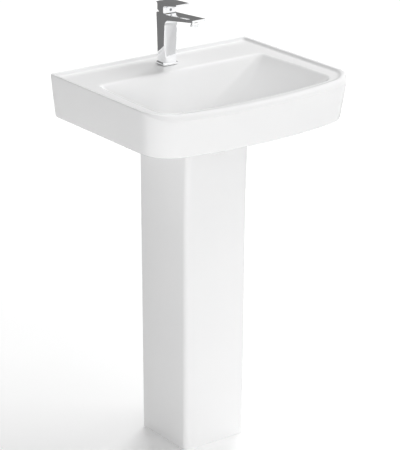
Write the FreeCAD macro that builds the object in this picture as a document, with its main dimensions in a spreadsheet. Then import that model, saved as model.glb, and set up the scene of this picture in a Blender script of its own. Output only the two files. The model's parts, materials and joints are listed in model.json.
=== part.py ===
import FreeCAD, Part
import math
import os
import re

import Sketcher
from FreeCAD import Rotation, Vector

# Pedestal washbasin with a single-lever mixer tap, a click waste and a bottle trap.
# Frame: X to the right seen from the front, Y towards the wall, Z up. The origin is on the floor,
# on the centre line, halfway between the wall plane and the foremost point of the basin.

SIZES = {
    # Basin
    "basin_width": 520,
    "basin_depth": 420,
    "rim_height": 850,
    "front_bow": 32,
    "front_corner_radius": 50,
    "back_corner_radius": 4,
    "apron_height": 98.5,
    "apron_draft": 9,
    "front_crease_drop": 16,
    "front_round_depth": 8,
    "apron_edge_radius": 7,
    "china_wall": 10,
    "lip_height": 7,
    "lip_top_width": 2,
    "lip_slope_width": 13,
    "back_lip_width": 11,
    # Bowl
    "mouth_width": 444,
    "mouth_back": 92,
    "mouth_front": 176,
    "mouth_bow": 22,
    "mouth_front_radius": 34,
    "mouth_back_radius": 22,
    "bowl_depth": 115,
    "floor_width": 142,
    "floor_back": 58,
    "floor_front": 36,
    "floor_bow": 3,
    "floor_corner_radius": 16,
    # Waste position and its seat in the china
    "waste_offset": 12,
    "waste_hole_clearance": 1.6,
    "waste_seat_clearance": 1.5,
    "waste_seat_drop": 9,
    "waste_boss_wall": 16.5,
    "waste_boss_length": 53,
    "overflow_ring_depth": 8.5,
    "overflow_ring_drop": 27,
    "overflow_ring_height": 13,
    "overflow_drop": 25,
    "overflow_hole_radius": 8,
    "overflow_duct_width": 28,
    "overflow_duct_height": 10,
    "overflow_duct_depth": 15.5,
    "overflow_wall": 7,
    # Holes for fixing the basin to the wall
    "wall_hole_spacing": 280,
    "wall_hole_radius": 7,
    "wall_hole_drop": 62,
    # Pedestal
    "pedestal_top_width": 165,
    "pedestal_foot_width": 163,
    "pedestal_back": 135,
    "waste_boss_clearance": 4,
    "pedestal_lean": 8,
    "pedestal_waist_drop": 218,
    "pedestal_foot_front": 30,
    "pedestal_bow": 1.5,
    "pedestal_back_radius": 3,
    "pedestal_wall": 12,
    "pedestal_corner_radius": 11,
    "foot_web_height": 28,
    "foot_web_depth": 20,
    "foot_hole_radius": 4,
    "foot_hole_spacing": 110,
    "foot_hole_offset": 112,
    # Tap: outside shape
    "tap_offset": 147,
    "tap_hole_radius": 16,
    "tap_width": 34,
    "tap_depth": 30,
    "tap_corner_radius": 5,
    "flange_margin": 2.4,
    "flange_height": 4.5,
    "base_seal_height": 1,
    "base_seal_inset": 1,
    "base_opening_radius": 14.9,
    "tap_body_height": 109.5,
    "spout_reach": 117,
    "spout_root_drop": 13,
    "spout_tip_rise": 6.7,
    "spout_tip_height": 5,
    "spout_knee_reach": 55,
    "spout_knee_drop": 7,
    "lever_gap": 1,
    "lever_block_height": 17.5,
    "lever_back_height": 22.5,
    "lever_reach": 59,
    "lever_tip_rise": 27.5,
    "lever_tip_height": 3,
    "lever_arch_rise": 1.5,
    "lever_lift_angle": 20,
    # Tap: waterways
    "inlet_inset": 5.5,
    "inlet_forward": 4,
    "inlet_radius": 5,
    "inlet_length": 13,
    "waterway_radius": 2.8,
    "duct_half_width": 10,
    "duct_height": 3,
    "duct_roof": 1.6,
    # Tap: stud fixing under the deck
    "stud_back": 8,
    "stud_radius": 4,
    "stud_length": 62,
    "stud_engagement": 13,
    "rubber_washer_height": 3,
    "metal_washer_height": 2.5,
    "horseshoe_radius": 21,
    "horseshoe_hole_radius": 4.6,
    "horseshoe_mouth": 13.4,
    "horseshoe_bridge": 2,
    "fixing_nut_height": 10,
    "fixing_nut_radius": 7.5,
    # Tap: aerator
    "aerator_setback": 16,
    "aerator_radius": 9,
    "aerator_boss_height": 7,
    "aerator_collar_height": 4.5,
    "aerator_thread_radius": 7.5,
    "aerator_thread_height": 5,
    "aerator_bore_radius": 5.9,
    "aerator_lip": 1,
    "mesh_hole_radius": 0.85,
    "mesh_hole_spacing": 2.6,
    "aerator_washer_height": 1.4,
    # Tap: cartridge
    "cartridge_bore_radius": 13,
    "cartridge_bore_depth": 40,
    "cartridge_base_height": 5,
    "disc_height": 4.5,
    "fixed_disc_clearance": 0.4,
    "moving_disc_room": 3.4,
    "carrier_height": 8,
    "carrier_socket_radius": 3.2,
    "cartridge_clearance": 0.5,
    "housing_wall": 1.9,
    "housing_roof": 2.5,
    "rotor_shoulder_width": 2,
    "rotor_flange_clearance": 0.2,
    "rotor_flange_height": 3,
    "rotor_top_drop": 1.5,
    "rotor_slot_width": 6.2,
    "rotor_slot_end": 1.8,
    "pivot_drop": 10,
    "spindle_width": 6,
    "spindle_ball_radius": 2.6,
    "spindle_arm": 8,
    "spindle_neck_length": 2.4,
    "spindle_rise": 24,
    "pin_radius": 1.25,
    "pin_inset": 0.9,
    "cartridge_nut_height": 7,
    "nut_slot_width": 2,
    "nut_slot_depth": 2.3,
    "port_spacing": 9,
    "port_radius": 2.3,
    "disc_port_radius": 1.8,
    "base_seal_width": 1,
    "grub_radius": 2.5,
    "grub_length": 6,
    "grub_rise": 7,
    "plug_radius": 3.2,
    "plug_thickness": 1.5,
    # Waste fitting
    "waste_flange_width": 10.6,
    "waste_flange_height": 3,
    "waste_tail_radius": 20.9,
    "waste_wall": 3.4,
    "waste_tail_length": 92,
    "flange_seal_height": 1.5,
    "waste_slot_width": 16,
    "spider_height": 4,
    "spider_drop": 34,
    "spider_hub_radius": 9,
    "spider_arm_width": 4,
    "tapered_washer_height": 4,
    "slip_washer_height": 1.5,
    "washer_inset": 1,
    "backnut_height": 9,
    "backnut_wall": 9.1,
    # Click plug
    "plug_cap_radius": 31,
    "plug_cap_height": 3,
    "plug_cap_chamfer": 2,
    "plug_travel": 10,
    "plug_seal_height": 2,
    "plug_seal_radius": 27,
    "plug_seal_bore_radius": 19.5,
    "plunger_radius": 2.8,
    "plunger_length": 69,
    "sleeve_radius": 6.5,
    "sleeve_length": 38,
    "sleeve_bore_radius": 5.2,
    "sleeve_floor": 3,
    "sleeve_rise": 12,
    "sleeve_collar_radius": 8.5,
    "sleeve_collar_height": 2,
    "shoulder_radius": 5,
    "shoulder_height": 3,
    "shoulder_drop": 39,
    "spring_radius": 4.1,
    "spring_wire_radius": 0.5,
    "spring_turns": 6,
    # Bottle trap
    "trap_nut_height": 24,
    "trap_nut_wall": 7.1,
    "trap_grip_radius": 2.5,
    "trap_collar_height": 3,
    "trap_nut_lip": 3.5,
    "trap_washer_height": 4,
    "trap_pipe_radius": 17.5,
    "trap_pipe_bore": 15,
    "trap_neck_length": 22,
    "trap_radius": 30,
    "trap_wall": 4.6,
    "bottle_thread_radius": 28.4,
    "bottle_radius": 31,
    "bottle_bore_radius": 25,
    "bottle_floor": 5,
    "bottle_chamfer": 4,
    "trap_body_height": 53,
    "trap_roof": 5,
    "dip_tube_length": 92,
    "bottle_height": 84,
    "bottle_overlap": 14,
    "bottle_seal_height": 2,
    "outlet_drop": 24,
    "outlet_radius": 19,
    "outlet_bore_radius": 16.2,
    "outlet_reach": 62,
    "outlet_nut_radius": 25,
    "outlet_nut_length": 18,
    "outlet_washer_length": 4,
    # Clearances
    "thread_clearance": 0.15,
    "part_clearance": 0.3,
    "running_clearance": 0.05,
}

# Sizes that follow from the ones above, in an order where each stands on the ones before it.
TIED = {
    "waste_hole_radius": "waste_tail_radius + waste_hole_clearance",
    "waste_flange_radius": "waste_tail_radius + waste_flange_width",
    "waste_seat_radius": "waste_flange_radius + waste_seat_clearance",
    "waste_boss_radius": "waste_hole_radius + waste_boss_wall",
    "overflow_ring_radius": "waste_hole_radius + overflow_ring_depth",
    "pedestal_top_front": "waste_boss_radius - waste_offset + pedestal_wall + waste_boss_clearance",
    "pedestal_waist_front": "pedestal_top_front - pedestal_lean",
    "waste_bore_radius": "waste_tail_radius - waste_wall",
    "backnut_radius": "waste_tail_radius + backnut_wall",
    "trap_collar_radius": "waste_tail_radius - part_clearance",
    "trap_nut_radius": "waste_tail_radius + trap_nut_wall",
    "inlet_spacing": "2 * (cartridge_bore_radius - inlet_inset)",
    "housing_radius": "cartridge_bore_radius - cartridge_clearance",
    "housing_inner_radius": "housing_radius - housing_wall",
    "fixed_disc_radius": "housing_inner_radius - fixed_disc_clearance",
    "moving_disc_radius": "housing_inner_radius - moving_disc_room",
    "rotor_flange_radius": "housing_inner_radius - rotor_flange_clearance",
    "rotor_radius": "rotor_flange_radius - rotor_shoulder_width",
    "rotor_slot_length": "2 * (rotor_radius - rotor_slot_end)",
    "pin_length": "2 * (rotor_radius - pin_inset)",
    "pedestal_waist_height": "rim_height - lip_height - bowl_depth - china_wall - pedestal_waist_drop",
}

WORD = re.compile(r"\b[a-z]+(?:_[a-z0-9]+)+\b")

doc = FreeCAD.newDocument("pedestal_sink")
sheet = doc.addObject("Spreadsheet::Sheet", "size")
subparts = []


def fill_sheet():
    """Write every driving dimension into the sheet, one named cell each."""
    for row, (alias, number) in enumerate((SIZES | TIED).items(), start=1):
        sheet.set(f"A{row}", alias)
        sheet.setAlias(f"B{row}", alias)
        sheet.set(f"B{row}", f"={number}")
    doc.recompute()


def bound(text):
    """Turn cell names in an expression into references to the sheet."""
    return WORD.sub(r"size.\g<0>", str(text))


def value(text):
    """Work out an expression of cell names as a number."""
    return float(sheet.evalExpression(bound(text)))


def bind(target, property_name, text):
    """Tie one property of an object to an expression of cell names."""
    target.setExpression(property_name, bound(text))


def new_body(name):
    """Start one separate piece; its label names its file."""
    body = doc.addObject("PartDesign::Body", name)
    body.Label = name
    subparts.append(body)
    return body


def new_sketch(body, role, x="0", y="0", z="0"):
    """Sketch on one of the body's origin planes, moved along that plane's own axes."""
    sketch = body.newObject("Sketcher::SketchObject", "outline")
    plane = next(item for item in body.Origin.OriginFeatures if item.Role == role)
    sketch.AttachmentSupport = [(plane, "")]
    sketch.MapMode = "FlatFace"
    for axis, text in zip("xyz", (x, y, z)):
        bind(sketch, f"AttachmentOffset.Base.{axis}", text)
    return sketch


def flat_sketch(body, height, y="0"):
    """Sketch in a level plane at a height; its own axes run along X and Y."""
    return new_sketch(body, "XY_Plane", y=y, z=height)


def front_sketch(body, y, x="0"):
    """Sketch in an upright plane at a distance y, seen from the front: its axes run along X and Z."""
    return new_sketch(body, "XZ_Plane", x=x, z=f"0 - ({y})")


def side_sketch(body, x="0"):
    """Sketch in the upright plane across the middle, or beside it: its axes run along Y and Z."""
    return new_sketch(body, "YZ_Plane", z=x)


def dimension(sketch, kind, text, *where):
    """Add one driving dimension and tie it to the sheet."""
    number = sketch.addConstraint(Sketcher.Constraint(kind, *where, value(text)))
    sketch.setExpression(f"Constraints[{number}]", bound(text))


def pin_point(sketch, edge, end, x, y):
    """Fix one point of an edge at two expressions."""
    dimension(sketch, "DistanceX", x, -1, 1, edge, end)
    dimension(sketch, "DistanceY", y, -1, 1, edge, end)


def polygon(sketch, points):
    """Closed outline of straight edges through points given as pairs of expressions."""
    places = [Vector(value(x), value(y), 0) for x, y in points]
    first = sketch.GeometryCount
    count = len(points)
    for start, end in zip(places, places[1:] + places[:1]):
        sketch.addGeometry(Part.LineSegment(start, end), False)
    for index in range(count):
        after = first + (index + 1) % count
        sketch.addConstraint(Sketcher.Constraint("Coincident", first + index, 2, after, 1))
    for index, (x, y) in enumerate(points):
        pin_point(sketch, first + index, 1, x, y)
    return sketch


def rectangle(sketch, left, right, low, high):
    """Closed outline of four edges."""
    return polygon(sketch, [(left, low), (right, low), (right, high), (left, high)])


def circle(sketch, x, y, radius):
    """Full circle about a point."""
    shape = Part.Circle(Vector(value(x), value(y), 0), Vector(0, 0, 1), value(radius))
    edge = sketch.addGeometry(shape, False)
    pin_point(sketch, edge, 3, x, y)
    dimension(sketch, "Radius", radius, edge)
    return sketch


def hexagon(sketch, x, y, radius):
    """Regular hexagon with a corner on each side, radius measured to its corners."""
    turns = [("1", "0"), ("0.5", "sqrt(0.75)"), ("-0.5", "sqrt(0.75)")]
    turns += [(f"0 - {a}", f"0 - {b}") for a, b in turns]
    corners = [(f"{x} + ({radius}) * ({a})", f"{y} + ({radius}) * ({b})") for a, b in turns]
    return polygon(sketch, corners)


def bowed_outline(sketch, half_width, back, front, bow, front_radius, back_radius):
    """Straight back and sides with a bowed front, all four corners rounded.

    front is how far the bow reaches towards the user, and bow is its height over the whole width.
    """
    bow_radius = f"(({half_width})^2 + ({bow})^2) / (2 * ({bow}))"
    half = value(half_width)
    near, far = value(front_radius), value(back_radius)
    rear, reach, sweep = value(back), value(front), value(bow_radius)
    bow_y = sweep - reach
    corner_x = half - near
    corner_y = bow_y - math.sqrt((sweep - near) ** 2 - corner_x ** 2)
    angle = math.atan2(corner_y - bow_y, corner_x)

    def arc(x, y, radius, start, end):
        round_edge = Part.Circle(Vector(x, y, 0), Vector(0, 0, 1), radius)
        return Part.ArcOfCircle(round_edge, start, end)

    def line(x0, y0, x1, y1):
        return Part.LineSegment(Vector(x0, y0, 0), Vector(x1, y1, 0))

    edges = [
        line(half, corner_y, half, rear - far),
        arc(half - far, rear - far, far, 0, math.pi / 2),
        line(half - far, rear, far - half, rear),
        arc(far - half, rear - far, far, math.pi / 2, math.pi),
        line(-half, rear - far, -half, corner_y),
        arc(-corner_x, corner_y, near, math.pi, math.pi - angle),
        arc(0, bow_y, sweep, -math.pi - angle, angle),
        arc(corner_x, corner_y, near, angle, 0),
    ]
    for edge in edges:
        sketch.addGeometry(edge, False)
    for index in range(len(edges)):
        after = (index + 1) % len(edges)
        sketch.addConstraint(Sketcher.Constraint("Tangent", index, 2, after, 1))
    sketch.addConstraint(Sketcher.Constraint("Vertical", 0))
    sketch.addConstraint(Sketcher.Constraint("Vertical", 4))
    sketch.addConstraint(Sketcher.Constraint("Horizontal", 2))
    dimension(sketch, "DistanceX", half_width, -1, 1, 0, 1)
    dimension(sketch, "DistanceX", f"0 - ({half_width})", -1, 1, 4, 1)
    dimension(sketch, "DistanceY", back, -1, 1, 2, 1)
    for corner, radius in ((7, front_radius), (5, front_radius), (1, back_radius), (3, back_radius)):
        dimension(sketch, "Radius", radius, corner)
    dimension(sketch, "Radius", bow_radius, 6)
    pin_point(sketch, 6, 3, "0", f"{bow_radius} - ({front})")
    return sketch


def rounded_rectangle(sketch, x, y, half_width, half_depth, radius):
    """Rectangle about a point with four equal rounded corners."""
    centre_x, centre_y = value(x), value(y)
    wide, deep, turn = value(half_width), value(half_depth), value(radius)
    sides = ((1, -1, -90), (1, 1, 0), (-1, 1, 90), (-1, -1, 180))
    for sign_x, sign_y, start in sides:
        hub = Vector(centre_x + sign_x * (wide - turn), centre_y + sign_y * (deep - turn), 0)
        begin = math.radians(start)
        corner = Part.Circle(hub, Vector(0, 0, 1), turn)
        sketch.addGeometry(Part.ArcOfCircle(corner, begin, begin + math.pi / 2), False)
    for index in range(4):
        start = sketch.Geometry[index].EndPoint
        end = sketch.Geometry[(index + 1) % 4].StartPoint
        edge = sketch.addGeometry(Part.LineSegment(start, end), False)
        sketch.addConstraint(Sketcher.Constraint("Tangent", index, 2, edge, 1))
        sketch.addConstraint(Sketcher.Constraint("Tangent", edge, 2, (index + 1) % 4, 1))
        sketch.addConstraint(Sketcher.Constraint(("Vertical", "Horizontal")[index % 2], edge))
        dimension(sketch, "Radius", radius, index)
    dimension(sketch, "DistanceX", f"{x} + ({half_width})", -1, 1, 4, 1)
    dimension(sketch, "DistanceX", f"{x} - ({half_width})", -1, 1, 6, 1)
    dimension(sketch, "DistanceY", f"{y} + ({half_depth})", -1, 1, 5, 1)
    dimension(sketch, "DistanceY", f"{y} - ({half_depth})", -1, 1, 7, 1)
    return sketch


def finish_feature(body, feature, grows):
    """Recompute a new feature and see that it added or removed material as it should."""
    before = body.Shape.Volume if not body.Shape.isNull() else 0.0
    doc.recompute()
    if feature.State != ["Up-to-date"]:
        raise RuntimeError(f"{body.Label}: {feature.Name} is {feature.State}")
    after = body.Shape.Volume
    if (after > before) != grows or abs(after - before) < 1e-6:
        raise RuntimeError(f"{body.Label}: {feature.Name} changed {before:.3f} to {after:.3f} mm3")
    return feature


def pad(body, sketch, length):
    """Raise a sketch along its plane's normal."""
    feature = body.newObject("PartDesign::Pad", "pad")
    feature.Profile = sketch
    bind(feature, "Length", length)
    return finish_feature(body, feature, grows=True)


def cut(body, sketch, length):
    """Cut a sketch away along its plane's normal."""
    feature = body.newObject("PartDesign::Pocket", "pocket")
    feature.Profile = sketch
    feature.Reversed = True
    bind(feature, "Length", length)
    return finish_feature(body, feature, grows=False)


def spin(body, sketch, kind, axis):
    """Turn a sketch all the way round one of its own axes."""
    feature = body.newObject(f"PartDesign::{kind}", kind.lower())
    feature.Profile = sketch
    feature.ReferenceAxis = (sketch, [axis])
    feature.Angle = 360
    return finish_feature(body, feature, grows=kind == "Revolution")


def loft(body, sketches, kind):
    """Join sketches by straight-sided surfaces, to add or to remove."""
    feature = body.newObject(f"PartDesign::{kind}", kind.lower())
    feature.Profile = sketches[0]
    feature.Sections = sketches[1:]
    feature.Ruled = True
    return finish_feature(body, feature, grows=kind == "AdditiveLoft")


def fillet(body, feature, radius, chosen):
    """Round every edge of a feature that passes the test."""
    edges = feature.Shape.Edges
    names = [f"Edge{number}" for number, edge in enumerate(edges, start=1) if chosen(edge)]
    if not names:
        raise RuntimeError(f"{body.Label}: no edge to round")
    rounding = body.newObject("PartDesign::Fillet", "rounding")
    rounding.Base = (feature, names)
    bind(rounding, "Radius", radius)
    return finish_feature(body, rounding, grows=False)


def turned(name, y, profile, x="0"):
    """A piece turned about an upright axis; the profile holds pairs of radius and height."""
    body = new_body(name)
    spin(body, polygon(front_sketch(body, y, x), profile), "Revolution", "V_Axis")
    return body


def groove(body, y, profile, x="0"):
    """Cut a turned profile about an upright axis."""
    return spin(body, polygon(front_sketch(body, y, x), profile), "Groove", "V_Axis")


def ring(name, y, inner, outer, low, high, x="0"):
    """A plain ring about an upright axis."""
    return turned(name, y, ring_profile(inner, outer, low, high), x)


def ring_profile(inner, outer, low, high):
    """Pairs of radius and height round a plain ring's section."""
    return [(inner, low), (outer, low), (outer, high), (inner, high)]


# Heights and places shared by several pieces, as expressions of the sheet's cells
HALF_WIDTH = "(basin_width / 2)"
HALF_DEPTH = "(basin_depth / 2)"
LEDGE = "(rim_height - lip_height)"
APRON_LOW = "(rim_height - apron_height)"
APRON_HALF = f"({HALF_WIDTH} - apron_draft)"
APRON_FRONT = f"({HALF_DEPTH} - apron_draft)"
DECK_LOW = f"({LEDGE} - china_wall)"
FLOOR = f"({LEDGE} - bowl_depth)"
BOWL_LOW = f"({FLOOR} - china_wall)"
FRONT_SLOPE = "((mouth_front - floor_front) / bowl_depth)"
OPENING_Y = f"(overflow_drop * {FRONT_SLOPE} - mouth_front)"

WASTE_Y = "(waste_offset)"
SEAT = f"({FLOOR} - waste_seat_drop)"
BOSS_LOW = f"({SEAT} - waste_boss_length)"
OVERFLOW_RING_LOW = f"({SEAT} - overflow_ring_drop)"
OVERFLOW_RING_TOP = f"({OVERFLOW_RING_LOW} + overflow_ring_height)"
FLANGE_LOW = f"({SEAT} + flange_seal_height)"
FLANGE_TOP = f"({FLANGE_LOW} + waste_flange_height)"
TAIL_LOW = f"({FLANGE_TOP} - waste_tail_length)"
SPIDER_TOP = f"({FLANGE_TOP} - spider_drop)"
CAP_LOW = f"({FLANGE_TOP} + plug_travel + plug_seal_height + part_clearance)"

PEDESTAL_TOP = BOWL_LOW

TAP_Y = "(tap_offset)"
BASE = f"({LEDGE} + base_seal_height + flange_height)"
TAP_TOP = f"({BASE} + tap_body_height)"
TAP_FRONT = "(tap_offset - tap_depth / 2)"
TAP_BACK = "(tap_offset + tap_depth / 2)"
LEVER_LOW = f"({TAP_TOP} + lever_gap)"
PIVOT = f"({TAP_TOP} - pivot_drop)"
BORE_LOW = f"({TAP_TOP} - cartridge_bore_depth)"
SPOUT_TIP_Y = f"({TAP_FRONT} - (spout_reach - tap_depth / 2))"
SPOUT_TIP_LOW = f"({TAP_TOP} + spout_tip_rise - spout_tip_height)"
KNEE_Y = "(tap_offset - spout_knee_reach)"
KNEE_LOW = f"({TAP_TOP} - spout_knee_drop)"
AERATOR_Y = f"({SPOUT_TIP_Y} + aerator_setback)"
STUD_Y = "(tap_offset + stud_back)"


def bowl_wall(y):
    """Height of the bowl's sloping front wall, on the centre line, at a distance y."""
    return f"({FLOOR} - (({y}) + floor_front) / {FRONT_SLOPE})"


def apron_outline(body, height, half_width, front):
    """Outside of the basin at one height."""
    sketch = flat_sketch(body, height)
    return bowed_outline(sketch, half_width, HALF_DEPTH, front, "front_bow",
                         "front_corner_radius", "back_corner_radius")


def underside_outline(body, height, half_width, front):
    """Inside of the apron at one height, one wall in from its outside."""
    sketch = flat_sketch(body, height)
    return bowed_outline(sketch, f"{half_width} - china_wall", f"{HALF_DEPTH} - china_wall",
                         f"{front} - china_wall", "front_bow",
                         "front_corner_radius - china_wall", "back_corner_radius")


def mouth_outline(body, wall):
    """Edge of the bowl at the level of the ledge, or one wall outside it."""
    return bowed_outline(flat_sketch(body, LEDGE), f"mouth_width / 2 + {wall}", f"mouth_back + {wall}",
                         f"mouth_front + {wall}", "mouth_bow", f"mouth_front_radius + {wall}",
                         f"mouth_back_radius + {wall}")


def floor_outline(body, wall):
    """Edge of the bowl's floor, or one wall outside and below it."""
    return bowed_outline(flat_sketch(body, f"{FLOOR} - {wall}"), f"floor_width / 2 + {wall}",
                         f"floor_back + {wall}", f"floor_front + {wall}", "floor_bow",
                         f"floor_corner_radius + {wall}", f"floor_corner_radius + {wall}")


def lip_outline(body, height, inset, back_inset):
    """Edge of the ledge inside the raised lip, which runs out over the front."""
    side = f"{HALF_WIDTH} - ({inset})"
    return rectangle(flat_sketch(body, height), f"0 - ({side})", side,
                     f"0 - ({HALF_DEPTH} + lip_slope_width)", f"{HALF_DEPTH} - ({back_inset})")


def duct_outline(body, x, half_height, reach):
    """Section of the overflow duct along its length, or of the china round it."""
    start = f"({OPENING_Y} - overflow_duct_height - {reach})"
    end = f"({WASTE_Y} - (waste_hole_radius + overflow_ring_radius) / 2)"
    points = []
    for side, y in (("+", start), ("+", end), ("-", end), ("-", start)):
        points.append((y, f"{bowl_wall(y)} - overflow_duct_depth {side} ({half_height})"))
    return polygon(side_sketch(body, x), points)


def basin():
    """The washbasin: apron, raised lip, ledge, bowl, waste boss, overflow duct and fixing holes."""
    body = new_body("basin")
    crease = "rim_height - front_crease_drop"
    edge_turn = "apron_edge_radius * (1 - sqrt(0.5))"
    loft(body, [
        apron_outline(body, APRON_LOW, f"({APRON_HALF} - apron_edge_radius)",
                      f"({APRON_FRONT} - apron_edge_radius)"),
        apron_outline(body, f"{APRON_LOW} + {edge_turn}", f"({APRON_HALF} - {edge_turn})",
                      f"({APRON_FRONT} - {edge_turn})"),
        apron_outline(body, f"{APRON_LOW} + apron_edge_radius", APRON_HALF, APRON_FRONT),
        apron_outline(body, crease, HALF_WIDTH, HALF_DEPTH),
        apron_outline(body, LEDGE, HALF_WIDTH, f"({HALF_DEPTH} - front_round_depth)"),
        apron_outline(body, "rim_height", HALF_WIDTH, f"({HALF_DEPTH} - front_round_depth)"),
    ], "AdditiveLoft")
    loft(body, [lip_outline(body, LEDGE, "lip_top_width + lip_slope_width", "back_lip_width"),
                lip_outline(body, "rim_height", "lip_top_width", "lip_top_width")], "SubtractiveLoft")
    loft(body, [underside_outline(body, APRON_LOW, APRON_HALF, APRON_FRONT),
                underside_outline(body, DECK_LOW, HALF_WIDTH, HALF_DEPTH)], "SubtractiveLoft")
    loft(body, [mouth_outline(body, "china_wall"), floor_outline(body, "china_wall")], "AdditiveLoft")
    pad(body, circle(flat_sketch(body, BOSS_LOW), "0", WASTE_Y, "waste_boss_radius"),
        "waste_boss_length + waste_seat_drop")
    china = "(overflow_duct_width / 2 + overflow_wall)"
    pad(body, duct_outline(body, f"0 - {china}", "overflow_duct_height / 2 + overflow_wall",
                           "overflow_wall"), f"2 * {china}")
    loft(body, [mouth_outline(body, "0"), floor_outline(body, "0")], "SubtractiveLoft")
    groove(body, WASTE_Y, [
        ("0", FLOOR), ("waste_seat_radius + waste_seat_drop", FLOOR), ("waste_seat_radius", SEAT),
        ("waste_hole_radius", SEAT), ("waste_hole_radius", OVERFLOW_RING_TOP),
        ("overflow_ring_radius", OVERFLOW_RING_TOP), ("overflow_ring_radius", OVERFLOW_RING_LOW),
        ("waste_hole_radius", OVERFLOW_RING_LOW), ("waste_hole_radius", BOSS_LOW), ("0", BOSS_LOW),
    ])
    cut(body, duct_outline(body, "0 - overflow_duct_width / 2", "overflow_duct_height / 2", "0"),
        "overflow_duct_width")
    duct_middle = f"{bowl_wall(OPENING_Y)} - overflow_duct_depth"
    cut(body, circle(flat_sketch(body, duct_middle), "0", OPENING_Y, "overflow_hole_radius"),
        "overflow_duct_depth + overflow_hole_radius")
    cut(body, circle(flat_sketch(body, DECK_LOW), "0", TAP_Y, "tap_hole_radius"), "china_wall")
    holes = front_sketch(body, HALF_DEPTH)
    for side in ("-", "+"):
        circle(holes, f"0 {side} wall_hole_spacing / 2", "rim_height - wall_hole_drop", "wall_hole_radius")
    cut(body, holes, "china_wall")
    return body


def pedestal_outline(body, height, width, front, wall, back):
    """Outside of the pedestal at one height, or one wall inside it."""
    return bowed_outline(flat_sketch(body, height), f"({width} / 2 - {wall})", back,
                         f"({front} - {wall})", "pedestal_bow",
                         f"max(pedestal_corner_radius - {wall}; pedestal_back_radius)",
                         "pedestal_back_radius")


def pedestal():
    """The hollow pedestal, open at the back, with a web at each side for a floor screw."""
    body = new_body("pedestal")
    sections = (
        ("0", "pedestal_foot_width", "pedestal_foot_front"),
        ("pedestal_waist_height",
         "(pedestal_foot_width + (pedestal_top_width - pedestal_foot_width) / 2)", "pedestal_waist_front"),
        (PEDESTAL_TOP, "pedestal_top_width", "pedestal_top_front"),
    )
    outer = [pedestal_outline(body, height, width, front, "0", "pedestal_back")
             for height, width, front in sections]
    loft(body, outer, "AdditiveLoft")
    open_back = "(pedestal_back + 2 * pedestal_back_radius)"
    inner = [pedestal_outline(body, height, width, front, "pedestal_wall", open_back)
             for height, width, front in sections]
    loft(body, inner, "SubtractiveLoft")
    inside = "(pedestal_foot_width / 2 - pedestal_wall)"
    webs = flat_sketch(body, "0")
    for side in ("-", "+"):
        near = f"0 {side} ({inside} - foot_web_depth)"
        far = f"0 {side} ({inside} + pedestal_wall / 2)"
        rectangle(webs, near, far, "foot_hole_offset - foot_web_depth / 2",
                  "foot_hole_offset + foot_web_depth / 2")
    pad(body, webs, "foot_web_height")
    holes = flat_sketch(body, "0")
    for side in ("-", "+"):
        circle(holes, f"0 {side} foot_hole_spacing / 2", "foot_hole_offset", "foot_hole_radius")
    cut(body, holes, "foot_web_height")
    wall_y = "(0 - (pedestal_top_front - pedestal_wall))"
    notch_half = "(overflow_duct_width / 2 + overflow_wall + part_clearance)"
    inner_y = f"({wall_y} + 2 * pedestal_bow)"
    notch_low = f"({bowl_wall(inner_y)} - overflow_duct_depth - overflow_duct_height / 2" \
                " - overflow_wall - part_clearance)"
    notch = rectangle(front_sketch(body, f"{wall_y} + pedestal_bow"), f"0 - {notch_half}", notch_half,
                      notch_low, PEDESTAL_TOP)
    cut(body, notch, "pedestal_wall + 2 * pedestal_bow")
    return body


def horseshoe(name, low, thickness):
    """A washer with a slot, slipped round the stud from the front, that clamps the tap."""
    body = new_body(name)
    pad(body, circle(flat_sketch(body, low), "0", TAP_Y, "horseshoe_radius"), thickness)
    slot = rectangle(flat_sketch(body, low), "0 - horseshoe_mouth", "horseshoe_mouth",
                     f"{TAP_Y} - 2 * horseshoe_radius",
                     f"{STUD_Y} - horseshoe_hole_radius - horseshoe_bridge")
    cut(body, slot, thickness)
    cut(body, circle(flat_sketch(body, low), "0", STUD_Y, "horseshoe_hole_radius"), thickness)
    return body


def hex_nut(name, y, low, height, radius, bore, x="0"):
    """A plain hexagonal nut on an upright axis."""
    body = new_body(name)
    pad(body, hexagon(flat_sketch(body, low), x, y, radius), height)
    cut(body, circle(flat_sketch(body, low), x, y, bore), height)
    return body


def tap_fixing():
    """What clamps the tap to the deck: seal, base flange, stud, two horseshoe washers and a nut."""
    half_width, half_depth = "tap_width / 2 + flange_margin", "tap_depth / 2 + flange_margin"
    for name, low, height, inset in (
        ("tap_base_seal", LEDGE, "base_seal_height", "base_seal_inset"),
        ("tap_base_flange", f"{LEDGE} + base_seal_height", "flange_height", "0"),
    ):
        body = new_body(name)
        outline = rounded_rectangle(flat_sketch(body, low), "0", TAP_Y, f"{half_width} - {inset}",
                                    f"{half_depth} - {inset}", "tap_corner_radius + flange_margin")
        pad(body, outline, height)
        cut(body, circle(flat_sketch(body, low), "0", TAP_Y, "base_opening_radius"), height)
    ring("mounting_stud", STUD_Y, "0", "stud_radius", f"{BASE} + stud_engagement - stud_length",
         f"{BASE} + stud_engagement")
    rubber_low = f"({DECK_LOW} - rubber_washer_height)"
    metal_low = f"({rubber_low} - metal_washer_height)"
    horseshoe("rubber_horseshoe_washer", rubber_low, "rubber_washer_height")
    horseshoe("metal_horseshoe_washer", metal_low, "metal_washer_height")
    hex_nut("fixing_nut", STUD_Y, f"{metal_low} - fixing_nut_height", "fixing_nut_height",
            "fixing_nut_radius", "stud_radius + thread_clearance")


def spout_duct(y, rise):
    """One corner of the waterway inside the spout, set down from the sloping top of the spout."""
    return (y, f"{TAP_TOP} + spout_tip_rise * ({TAP_FRONT} - ({y})) / ({TAP_FRONT} - {SPOUT_TIP_Y}) - {rise}")


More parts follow.
